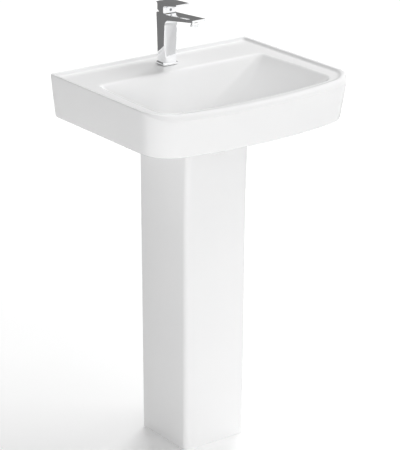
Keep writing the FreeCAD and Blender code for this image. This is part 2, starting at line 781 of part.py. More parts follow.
def tap_body():
    """The tap's body and spout in one casting, with its waterways, inlets and cartridge bore."""
    body = new_body("tap_body")
    outline = rounded_rectangle(flat_sketch(body, BASE), "0", TAP_Y, "tap_width / 2", "tap_depth / 2",
                                "tap_corner_radius")
    pad(body, outline, "tap_body_height")
    spout = polygon(side_sketch(body, "0 - tap_width / 2"), [
        (TAP_Y, f"{TAP_TOP} - spout_root_drop"), (TAP_Y, TAP_TOP), (TAP_FRONT, TAP_TOP),
        (SPOUT_TIP_Y, f"{TAP_TOP} + spout_tip_rise"), (SPOUT_TIP_Y, SPOUT_TIP_LOW),
        (KNEE_Y, KNEE_LOW), (TAP_FRONT, f"{TAP_TOP} - spout_root_drop"),
    ])
    pad(body, spout, "tap_width")
    boss_low = f"({KNEE_LOW} + part_clearance)"
    pad(body, circle(flat_sketch(body, boss_low), "0", AERATOR_Y, "aerator_radius"), "aerator_boss_height")
    cut(body, circle(flat_sketch(body, BORE_LOW), "0", TAP_Y, "cartridge_bore_radius"),
        "cartridge_bore_depth")
    duct_end = f"({AERATOR_Y} - aerator_thread_radius / 2)"
    duct = polygon(side_sketch(body, "0 - duct_half_width"), [
        spout_duct(TAP_FRONT, "2 * duct_roof + duct_height"),
        spout_duct(TAP_Y, "2 * duct_roof + duct_height"),
        spout_duct(TAP_Y, "2 * duct_roof"), spout_duct(TAP_FRONT, "2 * duct_roof"),
        spout_duct(duct_end, "duct_roof"), spout_duct(duct_end, "duct_roof + duct_height"),
    ])
    cut(body, duct, "2 * duct_half_width")
    thread_height = "aerator_thread_height + aerator_washer_height + part_clearance"
    cut(body, circle(flat_sketch(body, boss_low), "0", AERATOR_Y, "aerator_thread_radius"), thread_height)
    cut(body, circle(flat_sketch(body, boss_low), "0", AERATOR_Y, "aerator_bore_radius - aerator_lip"),
        f"{thread_height} + duct_height")
    sockets, ways = flat_sketch(body, BASE), flat_sketch(body, BASE)
    for side in ("-", "+"):
        x = f"0 {side} inlet_spacing / 2"
        circle(sockets, x, f"{TAP_Y} - inlet_forward", "inlet_radius")
        circle(ways, x, f"{TAP_Y} - inlet_forward", "waterway_radius")
    cut(body, sockets, "inlet_length")
    cut(body, ways, f"{BORE_LOW} - {BASE}")
    cut(body, circle(flat_sketch(body, BASE), "0", STUD_Y, "stud_radius"), "stud_engagement")
    return body


def aerator():
    """The outlet under the spout's tip: its threaded ring, the mesh insert and a washer."""
    boss_low = f"({KNEE_LOW} + part_clearance)"
    collar_low = f"({boss_low} - aerator_collar_height)"
    thread_top = f"({boss_low} + aerator_thread_height)"
    lip_top = f"({collar_low} + aerator_lip)"
    turned("aerator_housing", AERATOR_Y, [
        ("aerator_bore_radius - aerator_lip", collar_low), ("aerator_radius", collar_low),
        ("aerator_radius", boss_low), ("aerator_thread_radius - thread_clearance", boss_low),
        ("aerator_thread_radius - thread_clearance", thread_top), ("aerator_bore_radius", thread_top),
        ("aerator_bore_radius", lip_top), ("aerator_bore_radius - aerator_lip", lip_top),
    ])
    insert = ring("aerator_insert", AERATOR_Y, "0", "aerator_bore_radius - running_clearance",
                  lip_top, thread_top)
    holes = flat_sketch(insert, lip_top)
    for across in (-1, 0, 1):
        for along in (-1, 0, 1):
            circle(holes, f"{across} * mesh_hole_spacing", f"{AERATOR_Y} + {along} * mesh_hole_spacing",
                   "mesh_hole_radius")
    cut(insert, holes, "aerator_thread_height + aerator_collar_height")
    ring("aerator_washer", AERATOR_Y, "aerator_bore_radius - aerator_lip",
         "aerator_thread_radius - thread_clearance", thread_top, f"{thread_top} + aerator_washer_height")


CARTRIDGE_LOW = f"({BORE_LOW} + base_seal_height)"
FIXED_LOW = f"({CARTRIDGE_LOW} + cartridge_base_height)"
MOVING_LOW = f"({FIXED_LOW} + disc_height)"
CARRIER_LOW = f"({MOVING_LOW} + disc_height)"
CARRIER_TOP = f"({CARRIER_LOW} + carrier_height)"
ROTOR_LOW = f"({CARRIER_TOP} + part_clearance)"
ROTOR_SHOULDER = f"({ROTOR_LOW} + rotor_flange_height)"
ROTOR_TOP = f"({TAP_TOP} - rotor_top_drop)"
ROOF_LOW = f"({ROTOR_SHOULDER} + running_clearance)"
ROOF_TOP = f"({ROOF_LOW} + housing_roof)"
ROTOR_BORE = "rotor_radius + running_clearance"


def cartridge():
    """The ceramic-disc valve cartridge in the bore of the tap's body."""
    seals = new_body("cartridge_base_seals")
    rings = flat_sketch(seals, BORE_LOW)
    base = ring("cartridge_base", TAP_Y, "0", "housing_radius", CARTRIDGE_LOW, FIXED_LOW)
    base_ports = flat_sketch(base, CARTRIDGE_LOW)
    fixed = ring("fixed_disc", TAP_Y, "0", "fixed_disc_radius", FIXED_LOW, MOVING_LOW)
    disc_ports = flat_sketch(fixed, FIXED_LOW)
    for side in ("-", "+"):
        x, y = f"0 {side} inlet_spacing / 2", f"{TAP_Y} - inlet_forward"
        circle(rings, x, y, "waterway_radius + base_seal_width")
        circle(rings, x, y, "waterway_radius")
        circle(base_ports, x, y, "port_radius")
        circle(disc_ports, f"0 {side} port_spacing / 2", y, "disc_port_radius")
    pad(seals, rings, "base_seal_height")
    cut(base, base_ports, "cartridge_base_height")
    cut(fixed, disc_ports, "disc_height")
    moving = ring("moving_disc", TAP_Y, "0", "moving_disc_radius", MOVING_LOW, CARRIER_LOW)
    hollow = rectangle(flat_sketch(moving, MOVING_LOW), "0 - waterway_radius", "waterway_radius",
                       f"{TAP_Y} - waterway_radius / 2", f"{TAP_Y} + waterway_radius")
    cut(moving, hollow, "disc_height / 2")
    carrier = ring("disc_carrier", TAP_Y, "0", "moving_disc_radius", CARRIER_LOW, CARRIER_TOP)
    socket_low = f"{PIVOT} - spindle_arm - spindle_ball_radius - 2 * part_clearance"
    cut(carrier, circle(flat_sketch(carrier, socket_low), "0", TAP_Y, "carrier_socket_radius"),
        f"{CARRIER_TOP} - ({socket_low})")
    housing = turned("cartridge_housing", TAP_Y, [
        ("housing_inner_radius", FIXED_LOW), ("housing_radius", FIXED_LOW), ("housing_radius", ROOF_TOP),
        (ROTOR_BORE, ROOF_TOP), (ROTOR_BORE, ROOF_LOW), ("housing_inner_radius", ROOF_LOW),
    ])
    window = rectangle(front_sketch(housing, f"{TAP_Y} - housing_inner_radius / 2"),
                       "0 - duct_half_width / 2", "duct_half_width / 2", MOVING_LOW, CARRIER_LOW)
    cut(housing, window, "housing_radius")
    nut_top = f"{ROOF_TOP} + cartridge_nut_height"
    nut = ring("cartridge_nut", TAP_Y, ROTOR_BORE, "cartridge_bore_radius - thread_clearance", ROOF_TOP,
               nut_top)
    grips = flat_sketch(nut, f"{nut_top} - nut_slot_depth")
    rectangle(grips, "0 - cartridge_bore_radius", "cartridge_bore_radius", f"{TAP_Y} - nut_slot_width / 2",
              f"{TAP_Y} + nut_slot_width / 2")
    cut(nut, grips, "nut_slot_depth")


def rotor():
    """The rotor that swivels in the cartridge and carries the lever on a cross pin."""
    body = turned("cartridge_rotor", TAP_Y, [
        ("0", ROTOR_LOW), ("rotor_flange_radius", ROTOR_LOW), ("rotor_flange_radius", ROTOR_SHOULDER),
        ("rotor_radius", ROTOR_SHOULDER), ("rotor_radius", ROTOR_TOP), ("0", ROTOR_TOP),
    ])
    slot = rectangle(flat_sketch(body, ROTOR_LOW), "0 - rotor_slot_width / 2", "rotor_slot_width / 2",
                     f"{TAP_Y} - rotor_slot_length / 2", f"{TAP_Y} + rotor_slot_length / 2")
    cut(body, slot, f"{ROTOR_TOP} - {ROTOR_LOW}")
    cut(body, circle(side_sketch(body, "0 - rotor_radius"), TAP_Y, PIVOT, "pin_radius + running_clearance"),
        "2 * rotor_radius")
    pin = new_body("spindle_pin")
    pad(pin, circle(side_sketch(pin, "0 - pin_length / 2"), TAP_Y, PIVOT, "pin_radius"), "pin_length")


def lever():
    """The lever, its spindle down into the cartridge, the screw that holds it and the screw's plug."""
    spindle = new_body("lever_spindle")
    half = "spindle_width / 2"
    ball_y = f"({PIVOT} - spindle_arm)"
    pad(spindle, rectangle(flat_sketch(spindle, ball_y), f"0 - {half}", half, f"{TAP_Y} - {half}",
                           f"{TAP_Y} + {half}"), "spindle_arm + spindle_rise")
    neck = "spindle_ball_radius"
    trim = flat_sketch(spindle, ball_y)
    circle(trim, "0", TAP_Y, "spindle_width")
    circle(trim, "0", TAP_Y, f"{neck} - running_clearance")
    cut(spindle, trim, "spindle_neck_length")
    ball = front_sketch(spindle, TAP_Y)
    half_circle(ball, ball_y, neck)
    spin(spindle, ball, "Revolution", "V_Axis")
    cut(spindle, circle(side_sketch(spindle, f"0 - {half}"), TAP_Y, PIVOT, "pin_radius + running_clearance"),
        "spindle_width")

    body = new_body("tap_lever")
    undercut = f"({TAP_TOP} - {PIVOT} + part_clearance)"
    cut_start = f"({TAP_Y} + ({LEVER_LOW} - {PIVOT} - {undercut} / cos(lever_lift_angle))" \
                " / tan(lever_lift_angle))"
    back_rise = f"({TAP_BACK} - {cut_start}) * tan(lever_lift_angle)"
    tip_y = f"({TAP_FRONT} - (lever_reach - tap_depth / 2))"
    arch_y = f"(({tip_y} + {TAP_BACK}) / 2)"
    arch_height = "(lever_back_height + lever_tip_rise) / 2 + lever_arch_rise"
    side = polygon(side_sketch(body, "0 - tap_width / 2"), [
        (TAP_FRONT, LEVER_LOW), (cut_start, LEVER_LOW), (TAP_BACK, f"{LEVER_LOW} + {back_rise}"),
        (TAP_BACK, f"{LEVER_LOW} + lever_back_height"), (arch_y, f"{LEVER_LOW} + {arch_height}"),
        (tip_y, f"{LEVER_LOW} + lever_tip_rise"),
        (tip_y, f"{LEVER_LOW} + lever_tip_rise - lever_tip_height"),
        (TAP_FRONT, f"{LEVER_LOW} + lever_block_height"),
    ])
    block = pad(body, side, "tap_width")
    back = value(TAP_BACK)
    fillet(body, block, "tap_corner_radius", lambda edge: edge.BoundBox.YMin > back - 0.01
           and edge.BoundBox.ZLength > 5)
    room = f"({half} + running_clearance)"
    cut(body, rectangle(flat_sketch(body, LEVER_LOW), f"0 - {room}", room, f"{TAP_Y} - {room}",
                        f"{TAP_Y} + {room}"), f"{PIVOT} + spindle_rise - {LEVER_LOW} + running_clearance")
    grub_z = f"({LEVER_LOW} + grub_rise)"
    spindle_face = f"({TAP_Y} - {half} - running_clearance)"
    cut(body, circle(front_sketch(body, TAP_Y), "0", grub_z, "grub_radius + thread_clearance"), "tap_depth")
    cut(body, circle(front_sketch(body, f"{TAP_FRONT} + plug_thickness"), "0", grub_z,
                     "plug_radius + running_clearance"), "2 * plug_thickness")
    screw = new_body("lever_grub_screw")
    pad(screw, circle(front_sketch(screw, spindle_face), "0", grub_z, "grub_radius"), "grub_length")
    cap = new_body("indicator_plug")
    pad(cap, circle(front_sketch(cap, f"{TAP_FRONT} + plug_thickness - running_clearance"), "0", grub_z,
                    "plug_radius"), "plug_thickness")


def half_circle(sketch, height, radius):
    """Half of a circle centred on the sketch's upright axis, closed along that axis."""
    centre, size = value(height), value(radius)
    round_edge = Part.Circle(Vector(0, centre, 0), Vector(0, 0, 1), size)
    arc = sketch.addGeometry(Part.ArcOfCircle(round_edge, -math.pi / 2, math.pi / 2), False)
    line = sketch.addGeometry(Part.LineSegment(Vector(0, centre + size, 0), Vector(0, centre - size, 0)),
                              False)
    sketch.addConstraint(Sketcher.Constraint("Coincident", arc, 2, line, 1))
    sketch.addConstraint(Sketcher.Constraint("Coincident", line, 2, arc, 1))
    sketch.addConstraint(Sketcher.Constraint("Vertical", line))
    pin_point(sketch, arc, 3, "0", height)
    dimension(sketch, "Radius", radius, arc)
    dimension(sketch, "DistanceX", "0", -1, 1, line, 1)


def waste():
    """The slotted waste with its seals and nuts."""
    body = turned("waste_body", WASTE_Y, [
        ("waste_bore_radius", TAIL_LOW), ("waste_tail_radius", TAIL_LOW),
        ("waste_tail_radius", FLANGE_LOW), ("waste_flange_radius", FLANGE_LOW),
        ("waste_flange_radius", FLANGE_TOP), ("waste_bore_radius", FLANGE_TOP),
    ])
    spider = flat_sketch(body, f"{SPIDER_TOP} - spider_height")
    reach = "(waste_bore_radius + waste_tail_radius) / 2"
    rectangle(spider, f"0 - {reach}", reach, f"{WASTE_Y} - spider_arm_width / 2",
              f"{WASTE_Y} + spider_arm_width / 2")
    pad(body, spider, "spider_height")
    spider = flat_sketch(body, f"{SPIDER_TOP} - spider_height")
    rectangle(spider, "0 - spider_arm_width / 2", "spider_arm_width / 2", f"{WASTE_Y} - {reach}",
              f"{WASTE_Y} + {reach}")
    pad(body, spider, "spider_height")
    hub_low = f"{SPIDER_TOP} - spider_height"
    pad(body, circle(flat_sketch(body, hub_low), "0", WASTE_Y, "spider_hub_radius"), "spider_height")
    cut(body, circle(flat_sketch(body, hub_low), "0", WASTE_Y, "sleeve_radius + thread_clearance"),
        "spider_height")
    slots = rectangle(front_sketch(body, f"{WASTE_Y} + waste_tail_radius"), "0 - waste_slot_width / 2",
                      "waste_slot_width / 2", OVERFLOW_RING_LOW, OVERFLOW_RING_TOP)
    cut(body, slots, "2 * waste_tail_radius")
    ring("waste_flange_seal", WASTE_Y, "waste_tail_radius + part_clearance",
         "waste_flange_radius - washer_inset", SEAT, FLANGE_LOW)
    tapered_low = f"({BOSS_LOW} - tapered_washer_height)"
    slip_low = f"({tapered_low} - slip_washer_height)"
    tail_room = "waste_tail_radius + thread_clearance"
    turned("waste_tapered_washer", WASTE_Y, [
        (tail_room, tapered_low), ("backnut_radius", tapered_low), ("backnut_radius", BOSS_LOW),
        (tail_room, BOSS_LOW),
    ])
    ring("waste_slip_washer", WASTE_Y, tail_room, "backnut_radius - washer_inset", slip_low, tapered_low)
    hex_nut("waste_backnut", WASTE_Y, f"{slip_low} - backnut_height", "backnut_height", "backnut_radius",
            tail_room)


def click_plug():
    """The plug: cap, seal and plunger, and the sleeve and spring that it works in."""
    cap_top = f"({CAP_LOW} + plug_cap_height)"
    turned("plug_cap", WASTE_Y, [
        ("0", CAP_LOW), ("plug_cap_radius", CAP_LOW), ("plug_cap_radius", f"{cap_top} - plug_cap_chamfer"),
        ("plug_cap_radius - plug_cap_chamfer", cap_top), ("0", cap_top),
    ])
    ring("plug_seal", WASTE_Y, "plug_seal_bore_radius", "plug_seal_radius", f"{CAP_LOW} - plug_seal_height",
         CAP_LOW)
    shoulder = f"({CAP_LOW} - shoulder_drop)"
    turned("plug_plunger", WASTE_Y, [
        ("0", f"{CAP_LOW} - plunger_length"), ("plunger_radius", f"{CAP_LOW} - plunger_length"),
        ("plunger_radius", shoulder), ("shoulder_radius", shoulder),
        ("shoulder_radius", f"{shoulder} + shoulder_height"),
        ("plunger_radius", f"{shoulder} + shoulder_height"), ("plunger_radius", CAP_LOW), ("0", CAP_LOW),
    ])
    collar_low = SPIDER_TOP
    sleeve_low = f"({SPIDER_TOP} + sleeve_rise - sleeve_length)"
    turned("latch_sleeve", WASTE_Y, [
        ("plunger_radius + part_clearance", sleeve_low), ("sleeve_radius", sleeve_low),
        ("sleeve_radius", collar_low), ("sleeve_collar_radius", collar_low),
        ("sleeve_collar_radius", f"{collar_low} + sleeve_collar_height"),
        ("sleeve_radius", f"{collar_low} + sleeve_collar_height"),
        ("sleeve_radius", f"{SPIDER_TOP} + sleeve_rise"),
        ("sleeve_bore_radius", f"{SPIDER_TOP} + sleeve_rise"),
        ("sleeve_bore_radius", f"{sleeve_low} + sleeve_floor"),
        ("plunger_radius + part_clearance", f"{sleeve_low} + sleeve_floor"),
    ])
    plug_spring(f"({sleeve_low} + sleeve_floor)", shoulder)


def plug_spring(low, high):
    """A helical spring between the sleeve's floor and the plunger's shoulder."""
    coil = doc.addObject("Part::Helix", "spring_coil")
    margin = "(spring_wire_radius + part_clearance / 2)"
    bind(coil, "Height", f"{high} - {low} - 2 * {margin}")
    bind(coil, "Pitch", f"({high} - {low} - 2 * {margin}) / spring_turns")
    bind(coil, "Radius", "spring_radius")
    bind(coil, "Placement.Base.y", WASTE_Y)
    bind(coil, "Placement.Base.z", f"{low} + {margin}")
    wire = doc.addObject("Part::Circle", "spring_wire")
    bind(wire, "Radius", "spring_wire_radius")
    wire.Placement.Rotation = Rotation(Vector(1, 0, 0), 90)
    bind(wire, "Placement.Base.x", "spring_radius")
    bind(wire, "Placement.Base.y", WASTE_Y)
    bind(wire, "Placement.Base.z", f"{low} + {margin}")
    spring = doc.addObject("Part::Sweep", "plug_spring")
    spring.Label = "plug_spring"
    spring.Sections = [wire]
    spring.Spine = (coil, ["Edge1"])
    spring.Solid = True
    spring.Frenet = True
    subparts.append(spring)


COLLAR_TOP = f"({TAIL_LOW} - trap_washer_height)"
COLLAR_LOW = f"({COLLAR_TOP} - trap_collar_height)"
ROOF = f"({COLLAR_LOW} - trap_neck_length)"
TRAP_LOW = f"({ROOF} - trap_body_height)"
THREAD_TOP = f"({TRAP_LOW} + bottle_overlap)"
OUTLET_Z = f"({ROOF} - outlet_drop + trap_roof)"
OUTLET_END = f"({WASTE_Y} + outlet_reach)"


def turned_along_y(name, height, profile):
    """A piece turned about a level axis towards the wall; the profile holds pairs of y and radius."""
    body = new_body(name)
    sketch = new_sketch(body, "YZ_Plane", y=height)
    spin(body, polygon(sketch, profile), "Revolution", "H_Axis")
    return body


def trap():
    """The bottle trap: nuts, washers, its body with the dip tube, and the bottle below."""
    nut_low = f"({COLLAR_LOW} - trap_nut_lip - part_clearance)"
    lip_top = f"({COLLAR_LOW} - part_clearance)"
    nut = turned("trap_inlet_nut", WASTE_Y, [
        ("trap_pipe_radius + part_clearance", nut_low), ("trap_nut_radius", nut_low),
        ("trap_nut_radius", f"{nut_low} + trap_nut_height"),
        ("waste_tail_radius + thread_clearance", f"{nut_low} + trap_nut_height"),
        ("waste_tail_radius + thread_clearance", lip_top),
        ("trap_pipe_radius + part_clearance", lip_top),
    ])
    grips = flat_sketch(nut, nut_low)
    for turn_x, turn_y in (("1", "0"), ("0", "1"), ("-1", "0"), ("0", "-1")):
        circle(grips, f"trap_nut_radius * ({turn_x})", f"{WASTE_Y} + trap_nut_radius * ({turn_y})",
               "trap_grip_radius")
    cut(nut, grips, "trap_nut_height")
    ring("trap_inlet_washer", WASTE_Y, "trap_pipe_bore", "trap_collar_radius", COLLAR_TOP, TAIL_LOW)

    inner = "(trap_radius - trap_wall)"
    dip_low = f"({ROOF} - dip_tube_length)"
    body = turned("trap_body", WASTE_Y, [
        ("trap_pipe_bore", dip_low), ("trap_pipe_radius", dip_low),
        ("trap_pipe_radius", f"{ROOF} - trap_roof"), (inner, f"{ROOF} - trap_roof"), (inner, TRAP_LOW),
        ("bottle_thread_radius", TRAP_LOW), ("bottle_thread_radius", THREAD_TOP),
        ("trap_radius", THREAD_TOP), ("trap_radius", ROOF), ("trap_pipe_radius", ROOF),
        ("trap_pipe_radius", COLLAR_LOW), ("trap_collar_radius", COLLAR_LOW),
        ("trap_collar_radius", COLLAR_TOP), ("trap_pipe_bore", COLLAR_TOP),
    ])
    root = f"({WASTE_Y} + {inner} + trap_wall / 2)"
    pad(body, circle(front_sketch(body, OUTLET_END), "0", OUTLET_Z, "outlet_radius"),
        f"{OUTLET_END} - {root} + trap_radius / 2")
    clear_ring = flat_sketch(body, TRAP_LOW)
    circle(clear_ring, "0", WASTE_Y, inner)
    circle(clear_ring, "0", WASTE_Y, "trap_pipe_radius")
    cut(body, clear_ring, "trap_body_height - trap_roof")
    past_pipe = f"({WASTE_Y} + trap_pipe_radius + running_clearance)"
    cut(body, circle(front_sketch(body, OUTLET_END), "0", OUTLET_Z, "outlet_bore_radius"),
        f"{OUTLET_END} - {past_pipe}")

    seal_low = f"({TRAP_LOW} - bottle_seal_height)"
    rim = f"({THREAD_TOP} - part_clearance)"
    bottle_low = f"({rim} - bottle_height)"
    turned("trap_bottle", WASTE_Y, [
        ("0", bottle_low), ("bottle_radius - bottle_chamfer", bottle_low),
        ("bottle_radius", f"{bottle_low} + bottle_chamfer"),
        ("bottle_radius", rim), ("bottle_thread_radius + thread_clearance", rim),
        ("bottle_thread_radius + thread_clearance", seal_low), ("bottle_bore_radius", seal_low),
        ("bottle_bore_radius", f"{bottle_low} + bottle_floor"), ("0", f"{bottle_low} + bottle_floor"),
    ])
    ring("bottle_seal", WASTE_Y, inner, "bottle_thread_radius", seal_low, TRAP_LOW)
    washer_end = f"({OUTLET_END} + outlet_washer_length)"
    turned_along_y("trap_outlet_nut", OUTLET_Z, [
        (f"{OUTLET_END} - (outlet_nut_length - outlet_washer_length - trap_nut_lip)",
         "outlet_radius + thread_clearance"),
        (f"{OUTLET_END} - (outlet_nut_length - outlet_washer_length - trap_nut_lip)", "outlet_nut_radius"),
        (f"{washer_end} + trap_nut_lip", "outlet_nut_radius"),
        (f"{washer_end} + trap_nut_lip", "outlet_bore_radius + part_clearance"),
        (washer_end, "outlet_bore_radius + part_clearance"),
        (washer_end, "outlet_radius + thread_clearance"),
    ])
    turned_along_y("trap_outlet_washer", OUTLET_Z, [
        (OUTLET_END, "outlet_bore_radius"), (OUTLET_END, "outlet_radius"), (washer_end, "outlet_radius"),
        (washer_end, "outlet_bore_radius"),
    ])


def check_model():
    """Stop if any object failed to compute or any piece has no sound solid."""
    for item in doc.Objects:
        if {"Invalid", "Error"} & set(item.State):
            raise RuntimeError(f"{item.Label} is {item.State}")
    for piece in subparts:
        shape = piece.Shape
        if shape.isNull() or not shape.isValid() or not shape.Solids:
            raise RuntimeError(f"{piece.Label} has no valid solid")


def write_parts():
    """Write each piece to a file named after its label."""
    os.makedirs("parts", exist_ok=True)
    for piece in subparts:
        piece.Shape.exportStep(f"parts/{piece.Label}.step")


fill_sheet()
basin()
pedestal()
tap_fixing()
tap_body()
aerator()
cartridge()
rotor()
lever()
waste()
click_plug()
trap()
doc.recompute()
check_model()
write_parts()
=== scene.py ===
"""Looks of a white china washbasin on a full pedestal, with a square single-lever mixer tap.

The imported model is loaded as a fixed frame. Each sub-assembly below is built on the boxes of the
nodes that it stands for, and every piece takes a procedural finish.
"""

import json
import logging
import math
from dataclasses import dataclass, field
from enum import Enum
from typing import Any, Callable, Sequence

import bmesh
import bpy
from bmesh.types import BMEdge, BMesh, BMFace, BMVert
from mathutils import Matrix, Vector


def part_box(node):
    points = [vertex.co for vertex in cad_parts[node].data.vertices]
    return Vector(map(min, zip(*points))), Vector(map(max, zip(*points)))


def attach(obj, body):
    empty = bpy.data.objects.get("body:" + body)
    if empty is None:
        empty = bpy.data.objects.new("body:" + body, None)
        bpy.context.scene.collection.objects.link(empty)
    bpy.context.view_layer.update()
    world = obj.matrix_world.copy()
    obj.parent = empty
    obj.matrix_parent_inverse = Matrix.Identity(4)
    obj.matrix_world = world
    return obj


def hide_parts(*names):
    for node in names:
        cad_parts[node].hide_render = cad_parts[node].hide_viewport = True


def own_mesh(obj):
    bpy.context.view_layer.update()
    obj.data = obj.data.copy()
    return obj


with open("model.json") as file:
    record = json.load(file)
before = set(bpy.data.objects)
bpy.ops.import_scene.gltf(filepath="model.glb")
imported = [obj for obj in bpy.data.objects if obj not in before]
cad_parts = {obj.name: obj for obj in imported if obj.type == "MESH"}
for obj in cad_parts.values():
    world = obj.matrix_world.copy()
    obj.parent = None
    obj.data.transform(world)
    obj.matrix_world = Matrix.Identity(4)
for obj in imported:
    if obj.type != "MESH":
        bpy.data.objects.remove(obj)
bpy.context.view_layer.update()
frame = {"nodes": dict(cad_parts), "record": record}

LOG = logging.getLogger("washbasin")
UP = Vector((0, 0, 1))
MERGE = 1e-6  # metres
Height = Callable[[Vector], float] | float


class Slot(Enum):
    """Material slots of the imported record."""

    CHINA = "china"
    CHROME = "chrome"
    BRASS = "brass"
    STEEL = "steel"
    RUBBER = "rubber"
    WHITE_PLASTIC = "white_plastic"
    GREY_PLASTIC = "grey_plastic"
    CERAMIC_DISC = "ceramic_disc"


class Body(Enum):
    """Bodies that a piece can ride on."""

    FIXTURE = "fixture"
    ROTOR = "rotor"
    LEVER = "lever"
    VALVE = "valve"
    PLUG = "plug"


# ---------------------------------------------------------------- finishes


def set_inputs(node: bpy.types.Node, values: dict[str | int, Any]) -> None:
    """Sets a node's inputs by name, or by number where several share a name."""
    for label, value in values.items():
        node.inputs[label].default_value = value


def join(tree: bpy.types.NodeTree,
         wires: Sequence[tuple[bpy.types.Node, str | int, bpy.types.Node, str | int]]) -> None:
    """Wires a tree's nodes: each row gives a node and its output, then a node and its input."""
    for start, output, end, entry in wires:
        tree.links.new(start.outputs[output], end.inputs[entry])


def new_group(name: str, inputs: Sequence[tuple[str, float]], output: str) -> bpy.types.NodeTree:
    """Starts a shader node group that puts out one value.

    Args:
        name: Name of the group.
        inputs: Name and default of each number that a material sets.
        output: Name of the value that the group puts out.

    Returns:
        The group, with its input and output nodes named "in" and "out".
    """
    group = bpy.data.node_groups.new(name, "ShaderNodeTree")
    for label, default in inputs:
        socket = group.interface.new_socket(name=label, in_out="INPUT", socket_type="NodeSocketFloat")
        socket.default_value = default
    group.interface.new_socket(name=output, in_out="OUTPUT", socket_type="NodeSocketFloat")
    group.nodes.new("NodeGroupInput").name = "in"
    group.nodes.new("NodeGroupOutput").name = "out"
    return group


def mottle_group() -> None:
    """Slow cloudy variation between a low and a high value, as on glaze, polish and moulded skins."""
    group = new_group("soft_mottle", [("Scale", 12.0), ("Low", 0.0), ("High", 1.0)], "Value")
    nodes = group.nodes
    given, put = nodes["in"], nodes["out"]
    place, noise = nodes.new("ShaderNodeTexCoord"), nodes.new("ShaderNodeTexNoise")
    spread = nodes.new("ShaderNodeMapRange")
    set_inputs(noise, {"Detail": 4.0})
    set_inputs(spread, {"From Min": 0.3, "From Max": 0.7})
    join(group, ((place, "Object", noise, "Vector"), (given, "Scale", noise, "Scale"),
                 (noise, "Fac", spread, "Value"), (given, "Low", spread, "To Min"),
                 (given, "High", spread, "To Max"), (spread, "Result", put, "Value")))


def ripple_group() -> None:
    """Height of a sprayed or cast skin: a wide ripple with a finer one on it."""
    group = new_group("skin_ripple", [("Scale", 60.0), ("Fine", 0.3)], "Height")
    nodes = group.nodes
    given, put = nodes["in"], nodes["out"]
    place = nodes.new("ShaderNodeTexCoord")
    wide, fine = nodes.new("ShaderNodeTexNoise"), nodes.new("ShaderNodeTexNoise")
    finer, weighed, total = (nodes.new("ShaderNodeMath") for _ in range(3))
    finer.operation, weighed.operation, total.operation = "MULTIPLY", "MULTIPLY", "ADD"
    set_inputs(finer, {1: 6.0})
    join(group, ((place, "Object", wide, "Vector"), (place, "Object", fine, "Vector"),
                 (given, "Scale", wide, "Scale"), (given, "Scale", finer, 0), (finer, "Value", fine, "Scale"),
                 (fine, "Fac", weighed, 0), (given, "Fine", weighed, 1), (wide, "Fac", total, 0),
                 (weighed, "Value", total, 1), (total, "Value", put, "Height")))


def brush_group() -> None:
    """Height of turning or brushing lines that run round an upright axis."""
    group = new_group("turning_lines", [("Scale", 900.0)], "Height")
    nodes = group.nodes
    place, stretch = nodes.new("ShaderNodeTexCoord"), nodes.new("ShaderNodeMapping")
    noise = nodes.new("ShaderNodeTexNoise")
    set_inputs(stretch, {"Scale": (0.02, 0.02, 1.0)})
    set_inputs(noise, {"Detail": 2.0})
    join(group, ((place, "Object", stretch, "Vector"), (stretch, "Vector", noise, "Vector"),
                 (nodes["in"], "Scale", noise, "Scale"), (noise, "Fac", nodes["out"], "Height")))


@dataclass(frozen=True)
class Finish:
    """A procedural finish: a tint that drifts a little, a roughness that varies and a skin."""

    name: str
    light: tuple[float, float, float]
    dark: tuple[float, float, float]
    rough_low: float
    rough_high: float
    metallic: float = 0.0
    mottle: float = 12.0
    skin: str = "skin_ripple"
    skin_scale: float = 60.0
    skin_fine: float = 0.3
    skin_depth: float = 0.0001
    specular: float = 0.5

    def group_node(self, tree: bpy.types.NodeTree, group: str, **values: float) -> bpy.types.Node:
        """Places a shared group in a material's tree and sets its numbers."""
        node = tree.nodes.new("ShaderNodeGroup")
        node.node_tree = bpy.data.node_groups[group]
        set_inputs(node, values)
        return node

    def material(self) -> bpy.types.Material:
        """Builds the finish's material, or returns it if it is there already."""
        ready = bpy.data.materials.get(self.name)
        if ready:
            return ready
        material = bpy.data.materials.new(self.name)
        material.use_nodes = True
        tree = material.node_tree
        shader = tree.nodes["Principled BSDF"]
        set_inputs(shader, {"Metallic": self.metallic, "Specular IOR Level": self.specular})
        tint = self.group_node(tree, "soft_mottle", Scale=self.mottle, Low=0.0, High=1.0)
        colour = tree.nodes.new("ShaderNodeMix")
        colour.data_type = "RGBA"
        light, dark, mixed = 6, 7, 2  # the mix node's colour inputs and its colour output
        set_inputs(colour, {light: (*self.light, 1.0), dark: (*self.dark, 1.0)})
        rough = self.group_node(tree, "soft_mottle", Scale=self.mottle * 2.3, Low=self.rough_low,
                                High=self.rough_high)
        fine = {"Fine": self.skin_fine} if self.skin == "skin_ripple" else {}
        height = self.group_node(tree, self.skin, Scale=self.skin_scale, **fine)
        bump = tree.nodes.new("ShaderNodeBump")
        set_inputs(bump, {"Strength": 1.0, "Distance": self.skin_depth})
        join(tree, ((tint, "Value", colour, "Factor"), (colour, mixed, shader, "Base Color"),
                    (rough, "Value", shader, "Roughness"), (height, "Height", bump, "Height"),
                    (bump, "Normal", shader, "Normal")))
        return material


